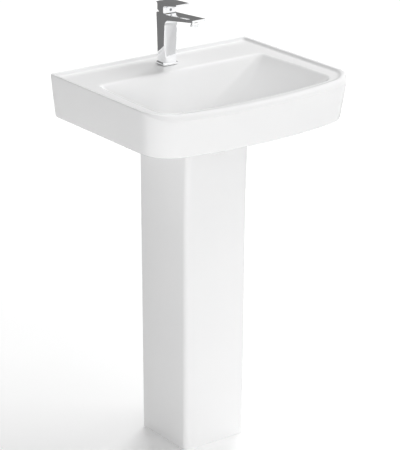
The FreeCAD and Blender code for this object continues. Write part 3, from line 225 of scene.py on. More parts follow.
FINISHES: dict[Slot, Finish] = {
    Slot.CHINA: Finish("glazed_china", (0.90, 0.90, 0.90), (0.885, 0.886, 0.888), 0.07, 0.13,
                       mottle=7.0, skin_scale=26.0, skin_fine=0.12, skin_depth=0.00012, specular=0.28),
    Slot.CHROME: Finish("polished_chrome", (0.93, 0.935, 0.94), (0.88, 0.885, 0.895), 0.03, 0.08,
                        metallic=1.0, mottle=45.0, skin_scale=90.0, skin_fine=0.15,
                        skin_depth=0.00002),
    Slot.BRASS: Finish("cast_brass", (0.72, 0.53, 0.25), (0.58, 0.40, 0.17), 0.24, 0.42,
                       metallic=1.0, mottle=60.0, skin_scale=500.0, skin_fine=0.5,
                       skin_depth=0.00008),
    Slot.STEEL: Finish("turned_steel", (0.62, 0.62, 0.61), (0.50, 0.50, 0.50), 0.22, 0.36,
                       metallic=1.0, mottle=80.0, skin="turning_lines", skin_scale=900.0,
                       skin_depth=0.00005),
    Slot.RUBBER: Finish("black_rubber", (0.030, 0.030, 0.032), (0.018, 0.018, 0.019), 0.55, 0.72,
                        mottle=70.0, skin_scale=700.0, skin_fine=0.6, skin_depth=0.00006),
    Slot.WHITE_PLASTIC: Finish("moulded_white", (0.84, 0.84, 0.83), (0.80, 0.80, 0.79), 0.20, 0.32,
                               mottle=30.0, skin_scale=220.0, skin_fine=0.4, skin_depth=0.00004),
    Slot.GREY_PLASTIC: Finish("moulded_grey", (0.33, 0.34, 0.35), (0.28, 0.29, 0.30), 0.40, 0.55,
                              mottle=40.0, skin_scale=400.0, skin_fine=0.5, skin_depth=0.00005),
    Slot.CERAMIC_DISC: Finish("lapped_ceramic", (0.86, 0.85, 0.82), (0.80, 0.79, 0.76), 0.10, 0.20,
                              mottle=90.0, skin_scale=800.0, skin_fine=0.3, skin_depth=0.00001),
}


# ---------------------------------------------------------------- mesh helpers


def smoothstep(low: float, high: float, x: float) -> float:
    """Share of the way from low to high, eased at both ends."""
    t = min(1.0, max(0.0, (x - low) / (high - low)))
    return t * t * (3 - 2 * t)


def bevel(bm: BMesh, geom: Sequence[BMEdge | BMVert], radius: float, steps: int, affect: str = "EDGES",
          clamp: bool = False) -> None:
    """Rounds edges, or the corners of a flat face.

    Args:
        bm: Mesh that is changed.
        geom: Edges or vertices to round.
        radius: How far the rounding reaches from each of them.
        steps: Number of steps in the rounding.
        affect: EDGES or VERTICES.
        clamp: Whether roundings stop where they would meet.
    """
    bmesh.ops.bevel(bm, geom=geom, offset=radius, offset_type="OFFSET", segments=steps, profile=0.5,
                    affect=affect, material=-1, clamp_overlap=clamp)


def smooth(obj: bpy.types.Object, sharp_deg: float) -> None:
    """Shades an object smooth, except over edges sharper than an angle in degrees."""
    obj.data.shade_smooth()
    obj.data.set_sharp_from_angle(angle=math.radians(sharp_deg))


def link(name: str, data: bpy.types.ID) -> bpy.types.Object:
    """Makes an object of the scene."""
    obj = bpy.data.objects.new(name, data)
    bpy.context.scene.collection.objects.link(obj)
    return obj


def mesh_object(bm: BMesh, name: str = "shape") -> bpy.types.Object:
    """Makes an object from a finished bmesh."""
    mesh = bpy.data.meshes.new(name)
    bm.to_mesh(mesh)
    bm.free()
    return link(name, mesh)


def paint(obj: bpy.types.Object, slot: Slot) -> None:
    """Gives an object the finish of a slot."""
    obj.data.materials.clear()
    obj.data.materials.append(FINISHES[slot].material())


def is_vert(item: BMVert | BMEdge | BMFace) -> bool:
    """Whether an item of a bmesh operator's result is a vertex."""
    return isinstance(item, BMVert)


def box_middle(node: str) -> Vector:
    """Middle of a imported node's box."""
    low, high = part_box(node)
    return (low + high) / 2


def round_box(node: str) -> tuple[Vector, float, float]:
    """Middle of the underside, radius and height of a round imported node."""
    low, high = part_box(node)
    return Vector(((low.x + high.x) / 2, (low.y + high.y) / 2, low.z)), (high.x - low.x) / 2, high.z - low.z


@dataclass
class Piece:
    """Turns a finished bmesh into an object that rides on a body and wears a finish."""

    name: str
    body: Body
    slot: Slot
    replaced: tuple[str, ...] = ()
    sharp_deg: float = 40.0

    def close(self, bm: BMesh) -> bpy.types.Object:
        """Merges doubles, turns the faces outward and makes the object, on its body and painted."""
        bmesh.ops.remove_doubles(bm, verts=bm.verts, dist=MERGE)
        bmesh.ops.recalc_face_normals(bm, faces=bm.faces)
        obj = mesh_object(bm, self.name)
        self.dress(obj)
        return obj

    def dress(self, obj: bpy.types.Object) -> None:
        """Shades, paints and seats an object on its body."""
        smooth(obj, self.sharp_deg)
        paint(obj, self.slot)
        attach(obj, self.body.value)
        if self.replaced:
            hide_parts(*self.replaced)
        LOG.info("%s: %d faces on %s", obj.name, len(obj.data.polygons), self.body.value)


def rounded_face(bm: BMesh, corners: Sequence[tuple[Vector, float, int]]
                 ) -> BMFace:
    """Draws a flat face and rounds its corners.

    Args:
        bm: Mesh that takes the face, with no other faces in it yet.
        corners: Place, rounding radius and rounding steps of each corner, in order.

    Returns:
        The face, in one piece.
    """
    points = [bm.verts.new(place) for place, _, _ in corners]
    bm.faces.new(points)
    for point, (_, radius, steps) in zip(points, corners):
        if radius:
            bevel(bm, [point], radius, steps, "VERTICES")
    inner = [edge for edge in bm.edges if len(edge.link_faces) == 2]
    if inner:
        bmesh.ops.dissolve_edges(bm, edges=inner, use_verts=False)
    bm.faces.ensure_lookup_table()
    return bm.faces[0]


@dataclass(frozen=True)
class Outline:
    """A level outline, flat at the back and the sides, bowed at the front, with round corners."""

    half: float
    back: float
    front: float
    bow: float = 0.0
    front_radius: float = 0.01
    back_radius: float = 0.002
    front_steps: int = 10
    back_steps: int = 6
    front_cuts: int = 32
    back_cuts: int = 20
    side_cuts: int = 16
    waist: float = 0.0

    def trace(self, height: Height) -> tuple[list[Vector], list[tuple[int, int]]]:
        """Draws the outline at a height.

        Args:
            height: Height of the outline, or a function of a point that gives it.

        Returns:
            The outline's points, in an order that is the same for every outline with the same
            steps and cuts, and the pairs of points that are joined.
        """
        part = bmesh.new()
        straight = -(self.front - self.bow)
        rounded_face(part, (
            (Vector((-self.half, self.back, 0)), self.back_radius, self.back_steps),
            (Vector((self.half, self.back, 0)), self.back_radius, self.back_steps),
            (Vector((self.half, straight, 0)), self.front_radius, self.front_steps),
            (Vector((-self.half, straight, 0)), self.front_radius, self.front_steps)))
        level = [e for e in part.edges if abs(e.verts[0].co.y - e.verts[1].co.y) < 1e-7]
        upright = [e for e in part.edges if abs(e.verts[0].co.x - e.verts[1].co.x) < 1e-7]
        back = max(level, key=lambda edge: (round(edge.verts[0].co.y, 5), edge.calc_length()))
        front = min(level, key=lambda edge: (round(edge.verts[0].co.y, 5), -edge.calc_length()))
        left = min(upright, key=lambda edge: (round(edge.verts[0].co.x, 5), -edge.calc_length()))
        right = max(upright, key=lambda edge: (round(edge.verts[0].co.x, 5), edge.calc_length()))
        for edge, cuts in ((back, self.back_cuts), (front, self.front_cuts),
                           (left, self.side_cuts), (right, self.side_cuts)):
            bmesh.ops.subdivide_edges(part, edges=[edge], cuts=cuts)
        for vertex in part.verts:
            x, y, _ = vertex.co
            if y < 0.3 * straight:
                vertex.co.y -= self.bow * (1 - (x / self.half) ** 2)
            if self.waist:
                vertex.co.x *= 1 - self.waist * smoothstep(-0.05, self.back, y)
            vertex.co.z = height(vertex.co) if callable(height) else height
        part.verts.index_update()
        pairs = [(e.verts[0].index, e.verts[1].index) for e in part.edges if len(e.link_faces) == 1]
        points = [vertex.co.copy() for vertex in part.verts]
        part.free()
        return points, pairs


@dataclass
class Skin:
    """A skin that grows ring by ring: the last ring's edges are extruded and moved to new places."""

    bm: BMesh
    ring: list[BMVert] = field(default_factory=list)
    edges: list[BMEdge] = field(default_factory=list)

    def start(self, outline: Outline, height: Height) -> None:
        """Draws the first ring."""
        points, pairs = outline.trace(height)
        self.ring = [self.bm.verts.new(point) for point in points]
        self.edges = [self.bm.edges.new((self.ring[a], self.ring[b])) for a, b in pairs]

    def grow(self, points: Sequence[Vector]) -> None:
        """Adds a ring whose vertices stand at the given places."""
        made = bmesh.ops.extrude_edge_only(self.bm, edges=self.edges)["geom"]
        fresh = set(filter(is_vert, made))
        self.edges = [item for item in made if isinstance(item, BMEdge)
                      and item.verts[0] in fresh and item.verts[1] in fresh]
        self.ring = [next(edge.other_vert(old) for edge in old.link_edges
                          if edge.other_vert(old) in fresh) for old in self.ring]
        for vertex, place in zip(self.ring, points):
            vertex.co = place

    def outline(self, outline: Outline, height: Height) -> None:
        """Adds a ring that follows an outline."""
        self.grow(outline.trace(height)[0])

    def circle(self, x: float, y: float, z: float, radius: float) -> None:
        """Adds a level round ring, each vertex in the direction that it already lies in."""
        centre = Vector((x, y, 0))
        places = []
        for vertex in self.ring:
            away = Vector((vertex.co.x, vertex.co.y, 0)) - centre
            places.append(centre + away.normalized() * radius + UP * z)
        self.grow(places)


def lathe(bm: BMesh, centre: Vector, axis: Vector, profile: Sequence[tuple[float, float]],
          steps: int = 64) -> None:
    """Turns a profile about an axis.

    Args:
        bm: Mesh that takes the turned shape.
        centre: A point on the axis, where heights are zero.
        axis: Direction of the axis.
        profile: Radius and height of each corner, in metres.
        steps: Number of steps round.
    """
    place = Matrix.Translation(centre) @ UP.rotation_difference(axis).to_matrix().to_4x4()
    points = [bm.verts.new(place @ Vector((radius, 0, height))) for radius, height in profile]
    edges = [bm.edges.new(pair) for pair in zip(points, points[1:])]
    bmesh.ops.spin(bm, geom=[*points, *edges], cent=centre, axis=axis, angle=math.tau, steps=steps,
                   use_merge=True)


def side_profile(bm: BMesh, half: float, corners: Sequence[tuple[float, float, float, int]]
                 ) -> None:
    """Draws a shape in the upright centre plane, rounds its corners and pulls it out to both sides.

    Args:
        bm: Mesh that takes the shape.
        half: Half of the shape's width.
        corners: Y, z, rounding radius and rounding steps of each corner, in order.
    """
    near = rounded_face(bm, [(Vector((-half, y, z)), radius, steps) for y, z, radius, steps in corners])
    far = bmesh.ops.extrude_face_region(bm, geom=[near])["geom"]
    bmesh.ops.translate(bm, vec=(2 * half, 0, 0), verts=list(filter(is_vert, far)))


def combine(obj: bpy.types.Object, shapes: Sequence[bpy.types.Object], operation: str = "DIFFERENCE") -> None:
    """Cuts closed shapes out of an object, or joins them to it, and removes the shapes."""
    for shape in shapes:
        step = obj.modifiers.new("step", "BOOLEAN")
        step.operation, step.object, step.solver = operation, shape, "EXACT"
    evaluated = obj.evaluated_get(bpy.context.evaluated_depsgraph_get())
    changed = bpy.data.meshes.new_from_object(evaluated)
    obj.modifiers.clear()
    old, obj.data = obj.data, changed
    bpy.data.meshes.remove(old)
    for shape in shapes:
        spare = shape.data
        bpy.data.objects.remove(shape)
        bpy.data.meshes.remove(spare)


def block(low: Vector, high: Vector, edge: float = 0.0, turn: Matrix | None = None) -> bpy.types.Object:
    """Makes a block between two corners, its edges rounded, turned about its middle.

    Args:
        low: Lowest corner.
        high: Highest corner.
        edge: Radius of the edges.
        turn: Rotation about the block's middle.

    Returns:
        The block as a loose shape.
    """
    bm = bmesh.new()
    bmesh.ops.create_cube(bm, size=1.0)
    bmesh.ops.scale(bm, vec=high - low, verts=bm.verts)
    if edge:
        bevel(bm, list(bm.edges), edge, 4)
    bmesh.ops.transform(bm, matrix=Matrix.Translation((high + low) / 2) @ (turn or Matrix()), verts=bm.verts)
    return mesh_object(bm)


def drill(start: Vector, axis: Vector, radius: float, length: float) -> bpy.types.Object:
    """Makes a round cutter that starts at a point and runs along an axis."""
    bm = bmesh.new()
    turn = UP.rotation_difference(axis).to_matrix().to_4x4()
    bmesh.ops.create_cone(bm, cap_ends=True, segments=48, radius1=radius, radius2=radius, depth=length,
                          matrix=Matrix.Translation(start + axis.normalized() * length / 2) @ turn)
    return mesh_object(bm)


# ---------------------------------------------------------------- china

CHINA_SHARP = 35.0


@dataclass
class Basin:
    """The washbasin: apron, raised lip at the back and sides, deck, sloping bowl and its underside."""

    wall: float = 0.010
    draft: float = 0.009
    lip: float = 0.007
    apron_depth: float = 0.0985
    bow: float = 0.032
    bowl_bow: float = 0.022
    bow_fades_at: float = 0.140
    narrowing: float = 0.025
    corner: float = 0.050
    crease_drop: float = 0.016
    edge_round: float = 0.007
    lip_starts: float = -0.200
    lip_full: float = -0.140
    bowl_depth: float = 0.115
    boss_radius: float = 0.039
    waste_radius: float = 0.0225
    tap_hole_radius: float = 0.016
    fixing_x: float = 0.140
    fixing_drop: float = 0.062
    fixing_radius: float = 0.007
    overflow_radius: float = 0.008
    # y and drop below the rim of the duct's two ends, then half its width and half its height
    duct_ends: tuple[tuple[float, float], ...] = ((-0.150, 0.058), (-0.022, 0.160))
    duct_half: tuple[float, float] = (0.021, 0.0125)
    bottom: float = field(init=False)
    rim: float = field(init=False)
    half: float = field(init=False)
    back: float = field(init=False)
    front: float = field(init=False)
    deck: float = field(init=False)
    apron_low: float = field(init=False)
    # inset from the side, from the back and from the front, front radius and back radius
    deck_edge: tuple[float, float, float, float, float] = (0.020, 0.016, 0.025, 0.0386, 0.0133)
    bowl_rings: tuple[tuple[float, float, float, float, float, float], ...] = (
        # drop below the deck, half width, back, front, front radius, back radius
        (0.0000, 0.2255, 0.0975, 0.1805, 0.036, 0.019),
        (0.0004, 0.2235, 0.0955, 0.1785, 0.034, 0.017),
        (0.0014, 0.2215, 0.0935, 0.1765, 0.032, 0.015),
        (0.0034, 0.2192, 0.0915, 0.1740, 0.030, 0.014),
        (0.0075, 0.2145, 0.0900, 0.1700, 0.029, 0.014),
        (0.0200, 0.1980, 0.0880, 0.1560, 0.029, 0.016),
        (0.0400, 0.1680, 0.0835, 0.1300, 0.031, 0.021),
        (0.0600, 0.1350, 0.0760, 0.1030, 0.034, 0.027),
        (0.0780, 0.1060, 0.0690, 0.0790, 0.036, 0.032),
        (0.0930, 0.0860, 0.0640, 0.0600, 0.038, 0.036),
        (0.1050, 0.0720, 0.0600, 0.0450, 0.040, 0.038),
        (0.1120, 0.0600, 0.0560, 0.0360, 0.040, 0.038),
        (0.1146, 0.0520, 0.0530, 0.0300, 0.038, 0.036),
    )
    under_rings: tuple[tuple[float, float, float, float], ...] = (
        # drop below the deck, half width, back, front
        (0.1250, 0.0810, 0.0680, 0.0460), (0.1100, 0.0960, 0.0730, 0.0650),
        (0.0600, 0.1530, 0.0880, 0.1200), (0.0200, 0.2120, 0.1000, 0.1690),
        (0.0100, 0.2320, 0.1040, 0.1860))

    def __post_init__(self) -> None:
        """Reads the box of the node that this stands for."""
        low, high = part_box("basin")
        self.bottom, self.rim = low.z, high.z
        self.half, self.back, self.front = high.x, high.y, -low.y
        self.deck = self.rim - self.lip
        self.apron_low = self.rim - self.apron_depth

    def raised(self, point: Vector) -> float:
        """How far the lip has risen at a point: none at the front, whole at the sides."""
        return smoothstep(self.lip_starts, self.lip_full, point.y)

    def build(self) -> None:
        """Builds the china shell, cuts its holes and dresses it."""
        bm = bmesh.new()
        skin = Skin(bm)
        self.apron_rings(skin)
        self.lip_rings(skin)
        self.deck_and_bowl(skin)
        self.waste_rings(skin)
        self.underside(skin)
        obj = Piece("basin_shell", Body.FIXTURE, Slot.CHINA, ("basin",), CHINA_SHARP).close(bm)
        combine(obj, [self.duct()], "UNION")
        combine(obj, self.holes())
        smooth(obj, CHINA_SHARP)

    def apron(self, inset: float) -> Outline:
        """The apron's outside at one level."""
        return Outline(self.half - inset, self.back, self.front - inset, self.bow, self.corner, 0.004)

    def apron_rings(self, skin: Skin) -> None:
        """Grows the rings round the apron's lower edge and up to its middle."""
        turn = self.edge_round
        skin.start(self.apron(self.draft + turn), self.apron_low)
        for degrees in (22.5, 45, 67.5, 90):
            a = math.radians(degrees)
            skin.outline(self.apron(self.draft + turn * (1 - math.sin(a))),
                         self.apron_low + turn * (1 - math.cos(a)))
        skin.outline(self.apron(self.draft * 0.5), (self.apron_low + turn + self.rim - self.crease_drop) / 2)

    def deck_and_bowl(self, skin: Skin) -> None:
        """Grows the rings over the deck, easing into the bowl's mouth, and down the bowl."""
        first = self.bowl_rings[0]
        side_in, back_in, front_in, front_radius, back_radius = self.deck_edge
        ends = ((self.half - side_in, first[1]), (self.back - back_in, first[2]),
                (self.front - front_in, first[3]), (self.bow, self.bowl_bow),
                (front_radius, first[4]), (back_radius, first[5]))
        for share in (0.15, 0.35, 0.55, 0.75, 0.9):
            skin.outline(Outline(*(a + (b - a) * share for a, b in ends), waist=self.narrowing * share),
                         self.deck)
        for drop, half, back, front, front_radius, back_radius in self.bowl_rings:
            skin.outline(Outline(half, back, front, self.bow_at(drop), front_radius, back_radius,
                                 waist=self.narrowing), self.deck - drop)

    def bow_at(self, drop: float) -> float:
        """The bowl's bow at a depth below the deck: it fades downwards."""
        return self.bowl_bow * (1 - drop / self.bow_fades_at)

    def waste_rings(self, skin: Skin) -> None:
        """Grows the round rings of the waste's seat, its hole and the boss under it."""
        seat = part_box("waste_flange_seal")[0].z
        floor = self.deck - self.bowl_depth
        for radius, z in ((0.0430, floor - 0.0002), (0.0405, floor - 0.0012), (0.0345, seat + 0.0012),
                          (0.0325, seat), (self.waste_radius, seat), (self.waste_radius, self.bottom),
                          (self.boss_radius, self.bottom), (self.boss_radius, floor - self.wall + 0.001),
                          (self.boss_radius + 0.003, floor - self.wall)):
            skin.circle(0.0, box_middle("waste_flange_seal").y, z, radius)

    def underside(self, skin: Skin) -> None:
        """Grows the rings under the bowl and the deck, and down the apron's inside to its lower edge."""
        for drop, half, back, front in self.under_rings:
            skin.outline(Outline(half, back, front, self.bow_at(drop), 0.044, 0.032), self.deck - drop)
        turn = self.edge_round
        for inset, z in ((self.wall + 0.001, self.deck - self.wall),
                         (self.draft + self.wall, self.apron_low + turn),
                         (self.draft + self.wall, self.apron_low)):
            skin.outline(Outline(self.half - inset, self.back - self.wall, self.front - inset, self.bow,
                                 self.corner - self.wall, 0.004), z)
        skin.outline(self.apron(self.draft + turn), self.apron_low)

    def duct(self) -> bpy.types.Object:
        """Makes the china round the overflow's way, which runs down under the bowl to the waste."""
        start, end = (Vector((0, y, self.rim - drop)) for y, drop in self.duct_ends)
        half = Vector((self.duct_half[0], (end - start).length / 2 + 0.008, self.duct_half[1]))
        middle = (start + end) / 2
        slope = math.atan2(end.z - start.z, end.y - start.y)
        return block(middle - half, middle + half, 0.006, Matrix.Rotation(slope, 4, "X"))

    def holes(self) -> list[bpy.types.Object]:
        """Makes the cutters of the tap hole, the two wall fixing holes and the overflow."""
        tap = box_middle("tap_base_seal")
        below = self.deck - self.wall - 0.005
        cutters = [drill(Vector((tap.x, tap.y, below)), UP, self.tap_hole_radius, 0.03)]
        for side in (-1, 1):
            start = Vector((self.fixing_x * side, self.back - 0.02, self.rim - self.fixing_drop))
            cutters.append(drill(start, Vector((0, 1, 0)), self.fixing_radius, 0.03))
        cutters.append(drill(Vector((0, -0.1555, self.rim - 0.044)), Vector((0, 0.42, 1)),
                             self.overflow_radius, 0.024))
        return cutters

    def lip_rings(self, skin: Skin) -> None:
        """Grows the rings over the lip at the sides and the back and over the round front edge."""
        # inset and rise from the crease at the side, then inset and rise at the front
        steps = ((0.0000, 0.0090, 0.0000, -0.0022), (0.0000, 0.0102, 0.0004, -0.0009),
                 (0.0000, 0.0113, 0.0012, -0.0002), (0.0000, 0.0122, 0.0024, 0.0002),
                 (0.0000, 0.0132, 0.0033, 0.0016), (0.0003, 0.0147, 0.0045, 0.0036),
                 (0.0010, 0.0156, 0.0060, 0.0055), (0.0023, 0.0160, 0.0080, 0.0071),
                 (0.0042, 0.0159, 0.0105, 0.0082), (0.0058, 0.0150, 0.0130, 0.0087),
                 (0.0070, 0.0132, 0.0155, 0.0090), (0.0084, 0.0112, 0.0180, 0.0090),
                 (0.0108, 0.0098, 0.0200, 0.0090), (0.0145, 0.0091, 0.0215, 0.0090),
                 (0.0190, 0.0090, 0.0230, 0.0090))
        crease = self.rim - self.crease_drop
        for side_in, side_up, front_in, front_up in steps:
            def level(point: Vector, up: float = side_up, fore: float = front_up) -> float:
                """Height of this ring at a point."""
                return crease + fore + (up - fore) * self.raised(point)

            skin.outline(Outline(self.half - side_in, self.back - side_in * 0.8, self.front - front_in,
                                 self.bow, self.corner - side_in * 0.6, max(0.004, side_in * 0.7)), level)


@dataclass
class Pedestal:
    """The hollow pedestal, open at the back, leaning out a little towards its top."""

    wall: float = 0.012
    corner: float = 0.011
    foot_edge: float = 0.0012
    foot_front: float = 0.030
    waist_front: float = 0.035
    waist_height: float = 0.500
    foot_half: float = 0.0815
    front_bow: float = 0.0015
    levels: tuple[float, ...] = (0.0015, 0.004, 0.06, 0.12, 0.2, 0.3, 0.4, 0.5, 0.58, 0.65)
    web_y: tuple[float, float] = (0.102, 0.122)
    web_top: float = 0.028
    web_reach: float = 0.020
    screw_x: float = 0.055
    screw_radius: float = 0.004
    notch_half: float = 0.0213
    notch_depth: float = 0.0245
    foot: float = field(init=False)
    top: float = field(init=False)
    half: float = field(init=False)
    back: float = field(init=False)
    front: float = field(init=False)

    def __post_init__(self) -> None:
        """Reads the box of the node that this stands for."""
        low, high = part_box("pedestal")
        self.foot, self.top = low.z, high.z
        self.half, self.back, self.front = high.x, high.y, -low.y

    def build(self) -> None:
        """Draws the U-shaped foot, pulls it up, leans its front and adds the webs and the holes."""
        bm = bmesh.new()
        face = self.section(bm)
        reached = self.foot
        for level in (*self.levels, self.top):
            made = bmesh.ops.extrude_face_region(bm, geom=[face])["geom"]
            bmesh.ops.translate(bm, vec=UP * (level - reached), verts=list(filter(is_vert, made)))
            face = next(item for item in made if isinstance(item, BMFace))
            reached = level
        for vertex in bm.verts:
            self.lean(vertex)
        foot_edges = [e for e in bm.edges if all(v.co.z < self.foot + MERGE for v in e.verts)
                      and any(abs(f.normal.z) < 0.5 for f in e.link_faces)]
        bevel(bm, foot_edges, self.foot_edge, 2, clamp=True)
        obj = Piece("pedestal_shell", Body.FIXTURE, Slot.CHINA, ("pedestal",), CHINA_SHARP).close(bm)
        combine(obj, self.webs(), "UNION")
        combine(obj, self.holes())
        smooth(obj, CHINA_SHARP)

    def section(self, bm: BMesh) -> BMFace:
        """Draws the level section of the foot: a U that is open at the back."""
        outer, inner = self.foot_half, self.foot_half - self.wall
        near, far = -self.foot_front, -self.foot_front + self.wall
        tight, soft, wide = (0.0025, 3), (0.004, 4), (self.corner, 10)
        places = (((-outer, self.back), tight), ((-outer, near), wide), ((outer, near), wide),
                  ((outer, self.back), tight), ((inner, self.back), tight), ((inner, far), soft),
                  ((-inner, far), soft), ((-inner, self.back), tight))
        return rounded_face(bm, [(Vector((x, y, self.foot)), *rounding) for (x, y), rounding in places])

    def lean(self, vertex: BMVert) -> None:
        """Moves a vertex of the straight prism to the leaning, slightly bowed shape."""
        x, y, z = vertex.co
        if z <= self.waist_height:
            reach = self.foot_front + (self.waist_front - self.foot_front) * z / self.waist_height
        else:
            share = (z - self.waist_height) / (self.top - self.waist_height)
            reach = self.waist_front + (self.front - self.waist_front) * share * (0.55 + 0.45 * share)
        share = 1 - smoothstep(0.0, 0.06, y + self.foot_front)
        vertex.co.y = y - (reach - self.foot_front) * share
        vertex.co.x = x * (1 + (self.half / self.foot_half - 1) * z / self.top)
        if y < 0:
            vertex.co.y += self.front_bow * (x / self.foot_half) ** 2 * share

    def webs(self) -> list[bpy.types.Object]:
        """Makes the two webs that hold the floor screws."""
        inner = self.foot_half - self.wall
        made = []
        for side in (-1, 1):
            left, right = sorted((side * (inner - self.web_reach), side * (inner + self.wall / 2)))
            made.append(block(Vector((left, self.web_y[0], self.foot + 0.0005)),
                              Vector((right, self.web_y[1], self.web_top)), 0.002))
        return made

    def holes(self) -> list[bpy.types.Object]:
        """Makes the cutters of the floor screws and of the notch for the overflow's duct."""
        y = sum(self.web_y) / 2
        cutters = [drill(Vector((self.screw_x * side, y, self.foot - 0.002)), UP, self.screw_radius, 0.04)
                   for side in (-1, 1)]
        cutters.append(block(Vector((-self.notch_half, -self.front - 0.010, self.top - self.notch_depth)),
                             Vector((self.notch_half, -self.front + 0.020, self.top + 0.010))))
        return cutters


# ---------------------------------------------------------------- tap

CHROME_SHARP = 30.0


@dataclass
class Tap:
    """The mixer's body and spout, base plate, outlet and lever, all polished."""

    edge: float = 0.0009
    corner: float = 0.0057
    fillet: float = 0.013
    depth: float = 0.030
    spout_drop: float = 0.0067
    spout_tip: float = 0.005
    plate_corner: float = 0.006
    plate_edge: float = 0.0012
    flare: float = 0.0065
    soften_from_deg: float = 28.0
    axis_y: float = field(init=False)
    back: float = field(init=False)
    front: float = field(init=False)

    def __post_init__(self) -> None:
        """Reads where the upright axis stands, and so the faces of the block round it."""
        self.axis_y = box_middle("tap_base_flange").y
        self.back, self.front = self.axis_y + self.depth / 2, self.axis_y - self.depth / 2

    def body(self) -> None:
        """The upright block with the wedge-shaped spout in one piece."""
        low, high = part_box("tap_body")
        half, tip, top = high.x, low.y, high.z - self.spout_drop
        bm = bmesh.new()
        side_profile(bm, half, (
            (self.back, low.z, 0.0, 0), (self.back, top, 0.0012, 3), (self.front, top, 0.0, 0),
            (tip, high.z, self.edge, 3), (tip, high.z - self.spout_tip, self.edge, 3),
            (self.axis_y - 0.055, top - 0.007, 0.02, 6),
            (self.front, top - 0.0135, self.fillet, 10), (self.front, low.z, 0.0, 0)))
        uprights = [e for e in bm.edges if abs(abs(e.verts[0].co.x) - half) < MERGE
                    and abs(e.verts[0].co.x - e.verts[1].co.x) < MERGE
                    and abs(e.verts[0].co.y - e.verts[1].co.y) < MERGE and e.calc_length() > 0.05]
        bevel(bm, uprights, self.corner, 6)
        self.soften(bm)
        Piece("tap_casting", Body.FIXTURE, Slot.CHROME, ("tap_body",), CHROME_SHARP).close(bm)

    def soften(self, bm: BMesh) -> None:
        """Rounds every edge that is still sharp."""
        least = math.radians(self.soften_from_deg)
        sharp = [e for e in bm.edges if len(e.link_faces) == 2 and e.calc_face_angle(0) > least]
        bevel(bm, sharp, self.edge, 3, clamp=True)

    def base(self) -> None:
        """The base plate under the body."""
        low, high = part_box("tap_base_flange")
        bm = bmesh.new()
        bmesh.ops.create_cube(bm, size=1.0)
        bmesh.ops.scale(bm, vec=high - low, verts=bm.verts)
        bmesh.ops.translate(bm, vec=box_middle("tap_base_flange"), verts=bm.verts)
        uprights = [e for e in bm.edges if abs(e.verts[0].co.z - e.verts[1].co.z) > 1e-4]
        bevel(bm, uprights, self.plate_corner, 6)
        rim = [e for e in bm.edges if all(v.co.z > high.z - 1e-5 for v in e.verts)]
        bevel(bm, rim, self.plate_edge, 3)
        Piece("tap_base_plate", Body.FIXTURE, Slot.CHROME, ("tap_base_flange",), CHROME_SHARP).close(bm)

    def outlet(self) -> None:
        """The aerator's collar under the tip of the spout."""
        centre, radius, height = round_box("aerator_housing")
        bm = bmesh.new()
        lathe(bm, centre, UP, (
            (0.0062, height), (0.0062, 0.0012), (0.0057, 0.0004), (0.0062, 0.0), (radius - 0.0010, 0.0),
            (radius - 0.0003, 0.0003), (radius, 0.0010), (radius, 0.0034), (radius - 0.0004, 0.0040),
            (radius - 0.0010, 0.0043), (0.0072, 0.0043), (0.0072, height), (0.0062, height)))
        Piece("outlet_collar", Body.FIXTURE, Slot.CHROME, ("aerator_housing",), CHROME_SHARP).close(bm)

    def lever(self) -> None:
        """The lever: a block over the body that flares out into a thin arm."""
        low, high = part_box("tap_lever")
        half, tip, back = high.x, low.y, self.back
        arm = bmesh.new()
        side_profile(arm, half, (
            (self.front - 0.004, low.z + 0.0172, 0.0, 0), (back, low.z + 0.0172, 0.0, 0),
            (back, low.z + 0.0225, 0.0008, 2), ((tip + back) / 2, low.z + 0.0265, 0.03, 8),
            (tip, low.z + 0.0275, 0.0006, 2), (tip, low.z + 0.0245, 0.0006, 2)))
        uprights = [e for e in arm.edges if all(v.co.y > back - 1e-5 for v in e.verts)
                    and abs(e.verts[0].co.z - e.verts[1].co.z) > 0.003]
        bevel(arm, uprights, self.corner, 6)
        self.soften(arm)
        obj = Piece("lever_handle", Body.LEVER, Slot.CHROME, ("tap_lever",), CHROME_SHARP).close(arm)
        combine(obj, [self.lever_block(low.z, half)], "UNION")
        plug, plug_back = box_middle("indicator_plug"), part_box("indicator_plug")[1].y
        combine(obj, [drill(Vector((plug.x, plug_back + 0.0002, plug.z)), Vector((0, -1, 0)), 0.0033, 0.01)])
        smooth(obj, CHROME_SHARP)

    def lever_block(self, foot: float, half: float) -> bpy.types.Object:
        """Makes the block under the lever's arm, notched at the back so that it clears when lifted."""
        bm = bmesh.new()
        skin = Skin(bm)

        def level(inset: float, flare: float = 0.0) -> Outline:
            """The block's outline, drawn in by an inset or flared forward."""
            return Outline(half - inset, self.back - inset, -(self.front + inset - flare), 0.0, self.corner,
                           self.corner, 8, 8, 6, 6, 10)

        def notched(rise: float) -> Callable[[Vector], float]:
            """Height of a ring: level in front of the axis and sloping up behind it."""
            climb = max(0.0, 0.0061 - rise * 0.35) / (self.back - self.axis_y)
            return lambda point: foot + rise + max(0.0, point.y - self.axis_y) * climb

        skin.start(level(0.0030), notched(0.0))
        first = list(skin.edges)
        skin.outline(level(0.0008), notched(0.0))
        skin.outline(level(0.0002), notched(0.0003))
        skin.outline(level(0.0), notched(0.0008))
        skin.outline(level(0.0), notched(0.0040))
        for degrees in (0, 15, 30, 45, 60, 75, 90):
            a = math.radians(degrees)
            skin.outline(level(0.0, self.flare * (1 - math.cos(a))), foot + 0.0108 + self.flare * math.sin(a))
        skin.outline(level(0.0002, self.flare), foot + 0.0180)
        for rim in (first, skin.edges):
            bmesh.ops.contextual_create(bm, geom=rim)
        bmesh.ops.triangulate(bm, faces=[face for face in bm.faces if len(face.verts) > 4])
        bmesh.ops.recalc_face_normals(bm, faces=bm.faces)
        return mesh_object(bm)

    def build(self) -> None:
        """Builds every piece of the tap."""
        self.body()
        self.base()
        self.outlet()
        self.lever()


